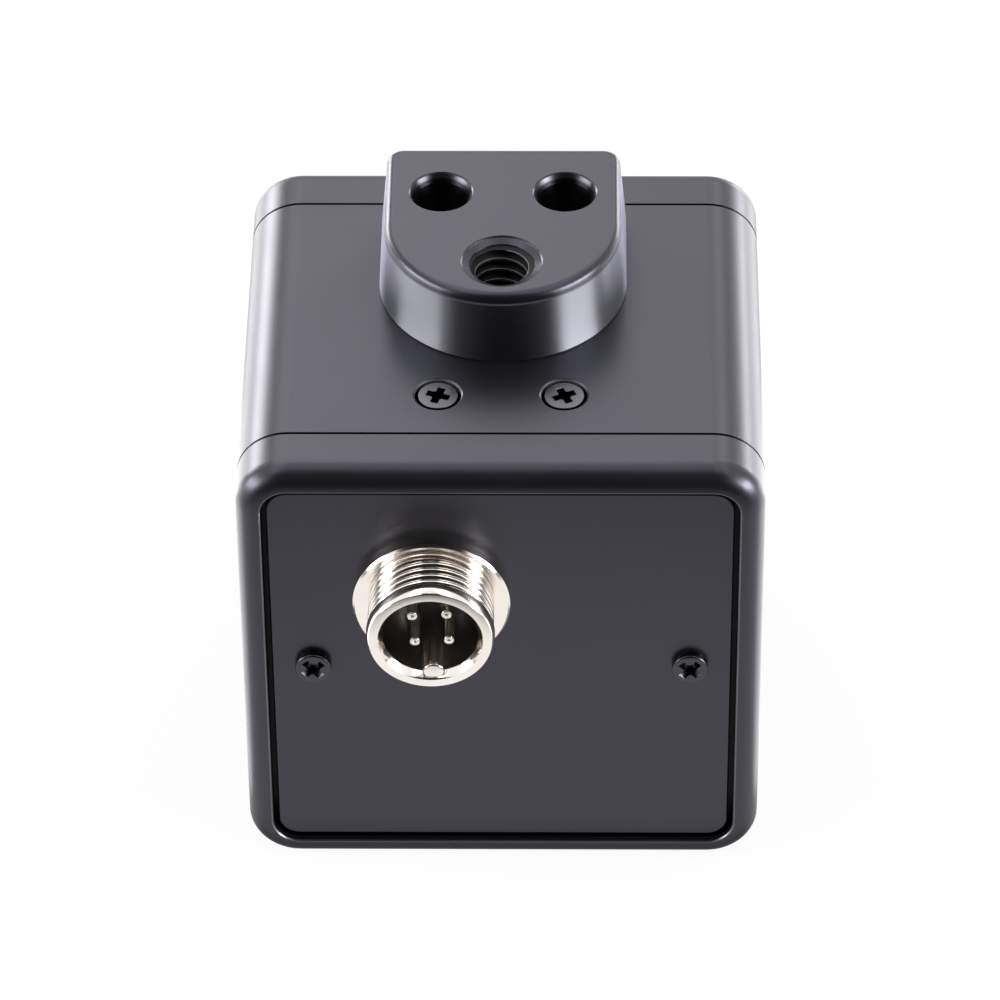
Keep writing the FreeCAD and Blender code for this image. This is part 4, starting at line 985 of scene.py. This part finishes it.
@dataclass
class CrossScrew:
    """Screw with a cross recess, modelled along +Z with the seat of its head at z = 0, in millimetres."""

    shank_radius: float
    shank_length: float
    head_radius: float
    head_height: float
    head: Head = Head.PAN
    crown: float = 0.2
    recess_reach: float = 1.22
    recess_width: float = 0.8
    recess_depth: float = 0.85
    recess_floor: float = 0.57
    recess_lift: float = 0.05
    corner_round: float = 0.2
    corner_segments: int = 2
    edge_round: float = 0.08
    edge_steps: int = 3

    def build(self, name: str) -> Piece:
        """Turn the screw and sink its recess.

        Args:
            name: Name of the piece.

        Returns:
            Closed mesh of the screw.
        """
        turning = Turning(name, self.shank_radius, -self.shank_length)
        if self.head is Head.PAN:
            side = self.head_height - self.crown
            turning.to((self.shank_radius, 0), (self.head_radius, 0), (self.head_radius, side))
            turning.round_over(self.head_radius - self.crown, self.head_height)
        else:
            slope = self.head_radius - self.shank_radius
            rim = self.head_height - slope - self.edge_round
            turning.to((self.shank_radius, 0), (self.head_radius, slope), (self.head_radius, slope + rim))
            turning.round_over(self.head_radius - self.edge_round, self.head_height, self.edge_steps)
        screw = turning.done()
        combine(screw, self.recess(), Tooling.CUT)
        return screw

    def recess(self) -> Piece:
        """Cross that narrows towards its floor.

        Returns:
            Closed mesh of the recess.
        """
        deselect_all()
        top = (self.head_height + self.recess_lift) * MM
        bpy.ops.mesh.primitive_plane_add(size=self.recess_width * MM, location=(0, 0, top))
        cross = bpy.context.object
        bpy.ops.object.transform_apply(location=True)
        bpy.ops.object.mode_set(mode="EDIT")
        half = self.recess_width * MM / 2
        near, upright = half / 100, half / 10
        for x, y in ((1, 0), (-1, 0), (0, 1), (0, -1)):
            way, across = Vector((x, y, 0)), Vector((y, x, 0))
            pick_edges(cross, lambda edge: all(abs(v.co.dot(way) - half) < near for v in edge.verts)
                       and abs((edge.verts[0].co + edge.verts[1].co).dot(across)) < near)
            extrude(way * (self.recess_reach * MM - half))
        bpy.ops.mesh.select_all(action="SELECT")
        extrude((0, 0, -(self.recess_depth + self.recess_lift) * MM))
        bpy.ops.transform.resize(value=(self.recess_floor, self.recess_floor, 1), center_override=(0, 0, 0))
        pick_edges(cross, lambda edge: abs(edge.verts[0].co.z - edge.verts[1].co.z) > upright
                   and all(abs(abs(v.co.x) - abs(v.co.y)) < near for v in edge.verts))
        bpy.ops.mesh.bevel(offset=self.corner_round * MM, segments=self.corner_segments, affect="EDGES")
        seal(merge=False)
        return cross


# Sub-assemblies

def in_mm(node: str) -> tuple[Vector, Vector]:
    """Lowest and highest corner of a CAD node in millimetres."""
    low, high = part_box(node)
    return low / MM, high / MM


@dataclass
class Case:
    """Square case: the sleeve, its two end frames and the plates in them."""

    nodes: tuple[str, ...] = ("body_sleeve", "rear_frame", "front_frame", "rear_plate", "front_plate")

    def dress(self) -> None:
        """Give the case its blasted black finish."""
        dress_nodes(CASE_BLACK, *self.nodes)


@dataclass
class ScrewPair:
    """Two like screws, left and right of the case's middle."""

    node: str
    facing: Facing
    turns: tuple[float, float]
    finish: Finish
    slot: str

    def build(self, screw: CrossScrew, seat: float) -> None:
        """Model one screw and set its copy on the other side.

        Args:
            screw: Screw to model.
            seat: Where the heads sit, along the screws' axis.
        """
        low, high = in_mm(self.node)
        left = screw.build(f"{self.node}_left")
        right = duplicate(left, f"{self.node}_right")
        for piece, x, turn in ((left, low.x + screw.head_radius, self.turns[0]),
                               (right, high.x - screw.head_radius, self.turns[1])):
            spot = (low + high) / 2
            spot.x = x
            if self.facing is Facing.UP:
                spot.z = seat
            else:
                spot.y = seat
            put(piece, Matrix.Translation(spot * MM) @ self.facing.turn()
                @ Matrix.Rotation(math.radians(turn), 4, "Z"))
            complete(piece, self.finish, replaced=self.node)


@dataclass
class PlateScrews:
    """Pair of pan head screws in an end plate."""

    node: str
    plate: str
    facing: Facing
    turns: tuple[float, float]
    shank_radius: float = 1.0

    def build(self) -> None:
        """Model the pair to the sizes of its CAD node."""
        low, high = in_mm(self.node)
        plate_low, plate_high = in_mm(self.plate)
        if self.facing is Facing.BACK:
            outer, face, tip = low.y, plate_low.y, high.y
        else:
            outer, face, tip = high.y, plate_high.y, low.y
        screw = CrossScrew(self.shank_radius, abs(tip - face), (high.z - low.z) / 2, abs(outer - face))
        ScrewPair(self.node, self.facing, self.turns, SCREW_BLACK, "screw_black").build(screw, face)


@dataclass
class Mount:
    """Tripod block with its thread and screws, and the countersunk pair behind it."""

    thread_major: float = 3.175
    thread_minor: float = 2.56
    thread_pitch: float = 1.27
    thread_y: float = -1.0
    thread_sink: float = 0.08
    mouth_radius: float = 3.8
    mouth_depth: float = 1.05
    mouth_lip: float = 0.13
    rim_sink: float = 0.02
    lead_depth: float = 0.45
    lead_wall: float = 0.15
    lead_radius: float = 3.15
    floor: float = 1.0
    screw_radius: float = 1.25
    block_floor: float = 2.0
    top_rim: float = 0.475
    top_recess: float = 1.2
    top_turns: tuple[float, float] = (-20.0, 25.0)
    block_recess: float = 1.4
    block_turns: tuple[float, float] = (10.0, 60.0)

    def build(self) -> None:
        """Dress the block and model its thread and the two pairs of screws."""
        dress_nodes(BLOCK_BLACK, "mount_block")
        self.build_thread()
        self.build_block_screws()
        self.build_top_screws()

    def build_thread(self) -> None:
        """Cut a coarse thread into a sleeve that lines the tripod hole, under a wide lead-in."""
        low, high = in_mm("mount_block")
        bottom = low.z + self.floor
        mouth = high.z - self.mouth_depth
        outer = self.thread_major + self.thread_sink
        lead = high.z - self.lead_depth
        rim = (self.mouth_radius + self.rim_sink, high.z - self.mouth_lip)
        lead_end = (self.lead_radius, lead - self.lead_wall)
        axis = Matrix.Translation((0, self.thread_y * MM, 0))
        lead_in = Turning("tripod_lead_in", *rim, solid=False).to(
            (self.lead_radius, lead), lead_end, (outer, mouth), rim).done()
        put(lead_in, axis)
        complete(lead_in, BLOCK_BLACK)
        sleeve = Turning("tripod_thread", outer, bottom, solid=False).to(
            (outer, mouth - self.thread_sink), lead_end, (self.thread_minor, lead - 2 * self.lead_wall),
            (self.thread_minor, bottom), (outer, bottom)).done()
        groove = Helix(self.thread_minor - self.thread_sink, self.thread_major, self.thread_pitch,
                       bottom - 2 * self.thread_pitch, high.z).build("tripod_groove")
        combine(sleeve, groove, Tooling.CUT)
        put(sleeve, axis)
        complete(sleeve, THREAD_BLACK)

    def build_block_screws(self) -> None:
        """Pan head screws at the bottom of the block's counterbores."""
        node = "mount_block_screws"
        low, high = in_mm(node)
        seat = in_mm("mount_block")[0].z + self.block_floor
        screw = CrossScrew(self.screw_radius, seat - low.z, (high.y - low.y) / 2, high.z - seat,
                           recess_reach=self.block_recess)
        ScrewPair(node, Facing.UP, self.block_turns, SCREW_BLACK, "screw_black").build(screw, seat)

    def build_top_screws(self) -> None:
        """Countersunk screws flush with the top wall."""
        node = "top_screws"
        low, high = in_mm(node)
        head_radius = (high.y - low.y) / 2
        head_height = head_radius - self.screw_radius + self.top_rim
        seat = high.z - head_height
        screw = CrossScrew(self.screw_radius, seat - low.z, head_radius, head_height, Head.COUNTERSUNK,
                           recess_reach=self.top_recess)
        ScrewPair(node, Facing.UP, self.top_turns, SCREW_GREY, "screw_grey").build(screw, seat)


@dataclass
class Connector:
    """Round four-pin connector: threaded shell, insulator and pins."""

    thread_radius: float = 6.0
    thread_root: float = 5.66
    pitch: float = 0.85
    ridge_embed: float = 0.06
    ridge_root_share: float = 0.96
    ridge_crest_share: float = 0.3
    ridge_crest_round: float = 0.12
    bore: float = 4.9
    flange_thickness: float = 1.4
    flange_chamfer: float = 0.2
    collar: float = 1.2
    collar_radius: float = 6.1
    rim_round: float = 0.35
    rim_round_length: float = 1.1
    face_bore: float = 5.0
    mouth_break: float = 0.08
    front_bore: float = 4.55
    mouth_depth: float = 0.75
    insert_gap: float = 0.03
    key_radius: float = 1.04
    key_axis: float = 4.3
    key_setback: float = 0.25
    key_round: float = 0.2
    turn: float = 3.5
    smooth_degrees: float = 25.0
    pin_radius: float = 0.5
    pin_spacing: float = 3.25
    pin_chamfer: float = 0.1
    cup_radius: float = 0.8
    cup_length: float = 3.5
    dimple_radius: float = 0.18
    dimple_point: float = 0.045
    dimple_depth: float = 0.2
    shell_steps: int = 96
    slim_steps: int = 32
    key_round_steps: int = 4
    pin_round_steps: int = 3

    def build(self) -> None:
        """Model the shell and dress the pieces inside it."""
        dress_nodes(INSULATOR, "connector_insert")
        dress_nodes(NICKEL, "connector_washer", "connector_nut")
        low, high = in_mm("connector_shell")
        face = in_mm("rear_plate")[0].y
        flange = (high.x - low.x) / 2
        rim = face - low.y
        tail = face - high.y
        front = self.flange_thickness
        edge = self.flange_chamfer
        collar = rim - self.collar
        run_out = self.collar_radius - self.thread_root
        insert_front = face - in_mm("connector_insert")[0].y
        shell = Turning("connector_shell_threaded", self.bore, tail, solid=False,
                        steps=self.shell_steps).to(
            (self.thread_radius, tail), (self.thread_radius, 0), (flange, 0), (flange, front - edge),
            (flange - edge, front), (self.thread_root, front),
            (self.thread_root, collar - run_out), (self.collar_radius, collar),
            (self.collar_radius, rim - self.rim_round_length)
        ).round_over(self.collar_radius - self.rim_round, rim).to(
            (self.face_bore, rim), (self.face_bore - self.mouth_break, rim - self.mouth_break),
            (self.front_bore, rim - self.mouth_depth), (self.front_bore, insert_front + self.insert_gap),
            (self.bore, insert_front + self.insert_gap), (self.bore, tail)).done()
        ridge = Helix(self.thread_root - self.ridge_embed, self.thread_radius, self.pitch,
                      front - self.pitch / 2, collar - self.pitch, self.ridge_root_share,
                      self.ridge_crest_share, self.ridge_crest_round).build("connector_ridge")
        combine(shell, ridge, Tooling.ADD)
        key = Turning("connector_key", self.key_radius, insert_front, steps=self.slim_steps).to(
            (self.key_radius, rim - self.key_setback - self.key_round)).round_over(
            self.key_radius - self.key_round, rim - self.key_setback, self.key_round_steps).done()
        put(key, Matrix.Translation((0, -self.key_axis * MM, 0)))
        combine(shell, key, Tooling.ADD)
        place = (Matrix.Translation(Vector(((low.x + high.x) / 2, face, (low.z + high.z) / 2)) * MM)
                 @ Facing.BACK.turn() @ Matrix.Rotation(math.radians(self.turn), 4, "Z"))
        put(shell, place)
        complete(shell, NICKEL, replaced="connector_shell",
                 smooth_degrees=self.smooth_degrees)
        self.build_pins(place)

    def build_pins(self, place: Matrix) -> None:
        """Four pins with a dimple left by the lathe in each tip.

        Args:
            place: Place of the connector's axis on the plate.
        """
        face = in_mm("rear_plate")[0].y
        low, high = in_mm("connector_pins")
        tip = face - low.y
        end = face - high.y
        shoulder = end + self.cup_length
        edge = self.pin_radius - self.pin_chamfer
        pin = Turning("connector_pin_1", self.cup_radius, end, steps=self.slim_steps).to(
            (self.cup_radius, shoulder), (self.pin_radius, shoulder),
            (self.pin_radius, tip - self.pin_chamfer)).round_over(edge, tip, self.pin_round_steps).to(
            (self.dimple_radius, tip), (self.dimple_point, tip - self.dimple_depth)).done()
        half = self.pin_spacing / 2
        pins = [pin] + [duplicate(pin, f"connector_pin_{number}") for number in (2, 3, 4)]
        for piece, (x, y) in zip(pins, ((half, half), (-half, half), (-half, -half), (half, -half))):
            put(piece, place @ Matrix.Translation((x * MM, y * MM, 0)))
            complete(piece, SILVER, replaced="connector_pins")


@dataclass
class Electronics:
    """Circuit board with its chips, socket, wires and fixings."""

    def dress(self) -> None:
        """Give each piece on and about the board its finish."""
        dress_nodes(LAMINATE, "camera_board")
        dress_nodes(BRASS, "board_standoffs")
        dress_nodes(SCREW_BRIGHT, "board_screws", "lens_holder_screws")
        dress_nodes(EPOXY, "image_sensor", "image_processor")
        dress_nodes(CRYSTAL_CAN, "clock_crystal")
        dress_nodes(IVORY, "board_socket", "wire_plug")
        dress_nodes(VINYL, "usb_wires")


@dataclass
class Lens:
    """Screw-in lens in its holder, with a slotted retaining ring."""

    ring_wall: float = 0.6
    ring_edge: float = 0.1
    ring_turn: float = 20.0
    slot_width: float = 0.8
    slot_depth: float = 0.5

    def build(self) -> None:
        """Dress the barrel and glasses and model the ring that holds the front glass."""
        dress_nodes(HOLDER_PLASTIC, "lens_holder")
        dress_nodes(LENS_BLACK, "lens_barrel", "lens_spacer", "lens_lock_ring")
        dress_nodes(LENS_GLASS, "lens_front_glass", "lens_rear_glass")
        dress_nodes(FILTER_GLASS, "ir_filter")
        low, high = in_mm("lens_retaining_ring")
        outer = (high.x - low.x) / 2
        inner = outer - self.ring_wall
        height = high.y - low.y
        ring = Turning("lens_retaining_ring_slotted", inner, 0, solid=False).to(
            (outer, 0), (outer, height), (inner + self.ring_edge, height), (inner, height - self.ring_edge),
            (inner, 0)).done()
        for side in (-1, 1):
            combine(ring, self.spanner_slot(side * outer, height), Tooling.CUT)
        place = Matrix.Translation(Vector((0, low.y, (low.z + high.z) / 2)) * MM)
        put(ring, place @ Facing.FRONT.turn() @ Matrix.Rotation(math.radians(self.ring_turn), 4, "Z"))
        complete(ring, LENS_BLACK, Body.LENS, replaced="lens_retaining_ring")

    def spanner_slot(self, x: float, height: float) -> Piece:
        """Block that cuts one slot for a pin spanner.

        Args:
            x: Where the slot is across the ring.
            height: Height of the ring.

        Returns:
            Closed mesh of the slot.
        """
        deselect_all()
        bpy.ops.mesh.primitive_cube_add(size=MM, location=(x * MM, 0, height * MM))
        slot = bpy.context.object
        # The block is centred on the ring's top edge and reaches past it
        slot.scale = (4 * self.ring_wall, self.slot_width, 2 * self.slot_depth)
        bpy.ops.object.transform_apply(location=True, rotation=True, scale=True)
        return slot


# Studio

@dataclass
class Camera:
    """Camera at the photograph's viewing angle."""

    x: float = 0.007403
    y: float = -0.440012
    z: float = 0.407673
    pitch: float = 40.893
    yaw: float = -1.017
    roll: float = -0.552
    focal_pixels: float = 5881.16
    image_pixels: float = 1000.0
    sensor_mm: float = 36.0
    clip: tuple[float, float] = (0.01, 20.0)

    def build(self) -> None:
        """Add the camera and make it the scene's own."""
        data = bpy.data.cameras.new("camera")
        data.sensor_width = self.sensor_mm
        data.lens = self.focal_pixels / self.image_pixels * self.sensor_mm
        data.clip_start, data.clip_end = self.clip
        camera = bpy.data.objects.new("camera", data)
        bpy.context.scene.collection.objects.link(camera)
        pitch, yaw, roll = (math.radians(angle) for angle in (self.pitch, self.yaw, self.roll))
        turn = (Matrix.Rotation(-yaw, 4, "Z") @ Matrix.Rotation(math.pi / 2 - pitch, 4, "X")
                @ Matrix.Rotation(roll, 4, "Z"))
        camera.matrix_world = Matrix.Translation((self.x, self.y, self.z)) @ turn
        bpy.context.scene.camera = camera


def add_panel(name: str, width: float, height: float, radiance: float) -> Piece:
    """Add a rectangular light that the camera doesn't see.

    Args:
        name: Name of the light.
        width: Its width in metres.
        height: Its height in metres.
        radiance: Its brightness.

    Returns:
        The light, still at the origin.
    """
    data = bpy.data.lights.new(name, "AREA")
    data.shape = "RECTANGLE"
    data.size, data.size_y = width, height
    data.energy = radiance * math.pi * width * height
    light = bpy.data.objects.new(name, data)
    bpy.context.scene.collection.objects.link(light)
    light.visible_camera = False
    return light


@dataclass
class Softbox:
    """Rectangular soft light that faces the object."""

    name: str
    azimuth: float
    elevation: float
    distance: float
    width: float
    height: float
    radiance: float

    def build(self, target: Vector) -> None:
        """Hang the light and turn it to the target.

        Args:
            target: Point that the light faces.
        """
        light = add_panel(self.name, self.width, self.height, self.radiance)
        azimuth, elevation = math.radians(self.azimuth), math.radians(self.elevation)
        way = Vector((math.sin(azimuth) * math.cos(elevation), -math.cos(azimuth) * math.cos(elevation),
                      math.sin(elevation)))
        light.location = target + way * self.distance
        light.rotation_euler = way.to_track_quat("Z", "Y").to_euler()


@dataclass
class TableLight:
    """Flat light panel that lies on the table, face up, with a like one on the object's other side."""

    name: str
    x: float
    y: float
    width: float
    length: float
    radiance: float
    lift: float = 0.002

    def build(self, side: int) -> None:
        """Lay down the panel of one side.

        Args:
            side: -1 for the left or 1 for the right.
        """
        light = add_panel(self.name, self.width, self.length, self.radiance)
        light.location = (side * self.x, self.y, CAD_BOX[0].z + self.lift)
        light.rotation_euler = (math.pi, 0, 0)


@dataclass
class Cloth:
    """Dark cloth cut from a sphere round the object, seen only in reflections.

    Its edges are in degrees: azimuths to the right of the camera's side, and elevations from the level.
    """

    name: str
    azimuths: tuple[float, float]
    elevations: tuple[float, float]
    colour: str = "#0a0a0a"
    distance: float = 1.6
    cell: int = 3

    def build(self, centre: Vector) -> None:
        """Keep the sphere's faces between the edges.

        Args:
            centre: Point that the cloth hangs round.
        """
        deselect_all()
        bpy.ops.mesh.primitive_uv_sphere_add(segments=360 // self.cell, ring_count=180 // self.cell,
                                             radius=self.distance, location=centre)
        cloth = bpy.context.object
        cloth.name = self.name
        bpy.ops.object.transform_apply(location=True)
        bpy.ops.object.mode_set(mode="EDIT")
        bpy.ops.mesh.select_mode(type="FACE")
        mesh = bmesh.from_edit_mesh(cloth.data)
        for face in mesh.faces:
            way = face.calc_center_median() - centre
            azimuth = math.degrees(math.atan2(way.x, -way.y))
            elevation = math.degrees(math.asin(way.z / way.length))
            face.select_set(not (self.azimuths[0] < azimuth < self.azimuths[1]
                                 and self.elevations[0] < elevation < self.elevations[1]))
        bmesh.update_edit_mesh(cloth.data)
        bpy.ops.mesh.delete(type="FACE")
        bpy.ops.object.mode_set(mode="OBJECT")
        material = bpy.data.materials.new(f"{self.name}_black_matt")
        material.use_nodes = True
        wire(material.node_tree.nodes["Principled BSDF"], {
            "Base Color": linear(self.colour), "Roughness": 1.0})
        cloth.data.materials.append(material)
        cloth.visible_camera = False
        cloth.visible_shadow = False


CLOTHS = (Cloth("cloth_front", (-46.0, 46.0), (-20.0, 76.0)),
          Cloth("cloth_back_left", (-158.0, -143.0), (27.0, 37.0)))

# Azimuth and elevation in degrees, distance, width and height in metres, radiance
SOFTBOXES = (
    Softbox("softbox_back", -166, 45, 1.2, 0.6, 0.8, 1.6),
    Softbox("softbox_back_right", 160, 38, 1.2, 0.25, 0.35, 2.7),
    Softbox("strip_top_left", -100, 69, 1.2, 1.2, 0.4, 1.3),
    Softbox("strip_top_right", 100, 69, 1.2, 1.2, 0.4, 1.0),
    Softbox("strip_back_left", -140, 8, 1.2, 0.5, 0.36, 11.5),
    Softbox("strip_back_right", 143, 3.5, 1.2, 0.5, 0.22, 10.5),
    Softbox("lamp_left", -77, 14, 1.0, 0.8, 0.3, 13.0),
    Softbox("lamp_right", 69, 14, 1.0, 0.6, 0.3, 22.0))

# Middle on the table, width and length in metres, radiance
TABLE_LIGHTS = (TableLight("table_light_back", 0.16, 0.17, 0.2, 0.28, 3.0),
                TableLight("table_light_front", 0.115, 0.015, 0.17, 0.07, 1.75))


@dataclass
class Studio:
    """Plain white sweep: floor, world, soft lights and dark cloths."""

    white: str = "#ffffff"
    floor_size: float = 6.0
    floor_front: float = 0.3
    floor_white: str = "#f4f4f4"
    floor_glow: float = 0.9
    shadow_share: float = 0.12
    # Floor in reflections: painted shade that darkens it towards the camera, and a painted shadow round the
    # object's foot
    mirrored_share: float = 1.0
    mirrored_reach: float = 0.066
    mirrored_fall: float = 1.8
    contact_shadow_share: float = 0.3
    contact_shadow_reach: float = 0.004
    foot_half: float = 0.0235
    ambient: float = 0.3
    backdrop: float = 1.0

    def build(self) -> None:
        """Set up the stage round the object."""
        bpy.context.scene.view_settings.view_transform = "Standard"
        centre = (CAD_BOX[0] + CAD_BOX[1]) / 2
        self.build_world()
        self.build_floor()
        for thing in CLOTHS + SOFTBOXES:
            thing.build(centre)
        for side in (-1, 1):
            for light in TABLE_LIGHTS:
                light.build(side)
        Camera().build()

    def seen(self, tree: Tree) -> Socket:
        """Mask that is one where a ray comes from the camera, a reflection or glass.

        Args:
            tree: Node tree of the floor or the world.

        Returns:
            Mask socket.
        """
        path = add_node(tree, "ShaderNodeLightPath").outputs
        return joined(tree, Joined.ANY, path["Is Glossy Ray"], path["Is Transmission Ray"],
                      path["Is Camera Ray"])

    def build_world(self) -> None:
        """White surroundings that light the object more softly than they look."""
        world = bpy.data.worlds.new("studio")
        bpy.context.scene.world = world
        world.use_nodes = True
        tree = world.node_tree
        tree.nodes.clear()
        light, seen = (add_node(tree, "ShaderNodeBackground", {
            "Color": linear(self.white), "Strength": strength}).outputs["Background"]
            for strength in (self.ambient, self.backdrop))
        mix = add_node(tree, "ShaderNodeMixShader", {0: self.seen(tree), 1: light, 2: seen})
        add_node(tree, "ShaderNodeOutputWorld", {"Surface": mix.outputs["Shader"]})

    def build_floor(self) -> None:
        """Floor that looks white and keeps a faint shadow."""
        deselect_all()
        front = CAD_BOX[0].y - self.floor_front
        bpy.ops.mesh.primitive_plane_add(size=self.floor_size,
                                         location=(0, front + self.floor_size / 2, CAD_BOX[0].z))
        floor = bpy.context.object
        floor.name = "floor"
        bpy.ops.object.transform_apply(location=True)
        material = bpy.data.materials.new("paper_white_matt")
        material.use_nodes = True
        tree = material.node_tree
        tree.nodes.clear()
        paper = add_node(tree, "ShaderNodeBsdfDiffuse", {"Color": linear(self.floor_white)})
        shaded = add_node(tree, "ShaderNodeBsdfDiffuse", {"Color": (self.shadow_share,) * 3 + (1.0,)})
        glow = add_node(tree, "ShaderNodeEmission", {
            "Color": linear(self.white), "Strength": self.floor_glow})
        direct = add_node(tree, "ShaderNodeAddShader", {
            0: shaded.outputs["BSDF"], 1: glow.outputs["Emission"]})
        mirrored = add_node(tree, "ShaderNodeEmission", {"Color": self.mirrored_white(tree), "Strength": 1.0})
        path = add_node(tree, "ShaderNodeLightPath").outputs
        shown = add_node(tree, "ShaderNodeMixShader", {
            0: path["Is Glossy Ray"], 1: direct.outputs["Shader"], 2: mirrored.outputs["Emission"]})
        mix = add_node(tree, "ShaderNodeMixShader", {
            0: self.seen(tree), 1: paper.outputs["BSDF"], 2: shown.outputs["Shader"]})
        add_node(tree, "ShaderNodeOutputMaterial", {"Surface": mix.outputs["Shader"]})
        floor.data.materials.append(material)

    def mirrored_white(self, tree: Tree) -> Socket:
        """White of the floor in reflections, with painted shade fading it towards the camera and a painted
        shadow under the object.

        Args:
            tree: Node tree of the floor.

        Returns:
            Value socket.
        """
        layout = Layout(tree, add_node(tree, "ShaderNodeTexCoord").outputs["Object"])
        along = add_node(tree, "ShaderNodeSeparateXYZ", {"Vector": layout.place}).outputs["Y"]
        ahead = add_node(tree, "ShaderNodeMath", {0: along, 1: -1.0}, operation="MULTIPLY").outputs["Value"]
        far = add_node(tree, "ShaderNodeMath", {0: ahead, 1: self.mirrored_reach},
                       operation="MAXIMUM").outputs["Value"]
        near = add_node(tree, "ShaderNodeMath", {0: self.mirrored_reach, 1: far},
                        operation="DIVIDE").outputs["Value"]
        fall = add_node(tree, "ShaderNodeMath", {0: near, 1: self.mirrored_fall},
                        operation="POWER").outputs["Value"]
        foot = (CAD_BOX[1].x, self.foot_half, FAR)
        gap = layout.reach(("ABSOLUTE", ZERO), ("SUBTRACT", foot), ("MAXIMUM", ZERO))
        contact = add_node(tree, "ShaderNodeMapRange", {
            "Value": gap, "From Max": self.contact_shadow_reach, "To Min": self.contact_shadow_share,
            "To Max": self.mirrored_share}).outputs["Result"]
        return joined(tree, Joined.SHARED, fall, contact)


def main() -> None:
    """Build and dress each sub-assembly, then the studio."""
    logging.basicConfig(level=logging.INFO, format="%(message)s")
    Case().dress()
    PlateScrews("rear_plate_screws", "rear_plate", Facing.BACK, turns=(40.0, 48.0)).build()
    PlateScrews("front_plate_screws", "front_plate", Facing.FRONT, turns=(15.0, 70.0)).build()
    Mount().build()
    Connector().build()
    Electronics().dress()
    Lens().build()
    Studio().build()


if __name__ == "__main__":
    main()
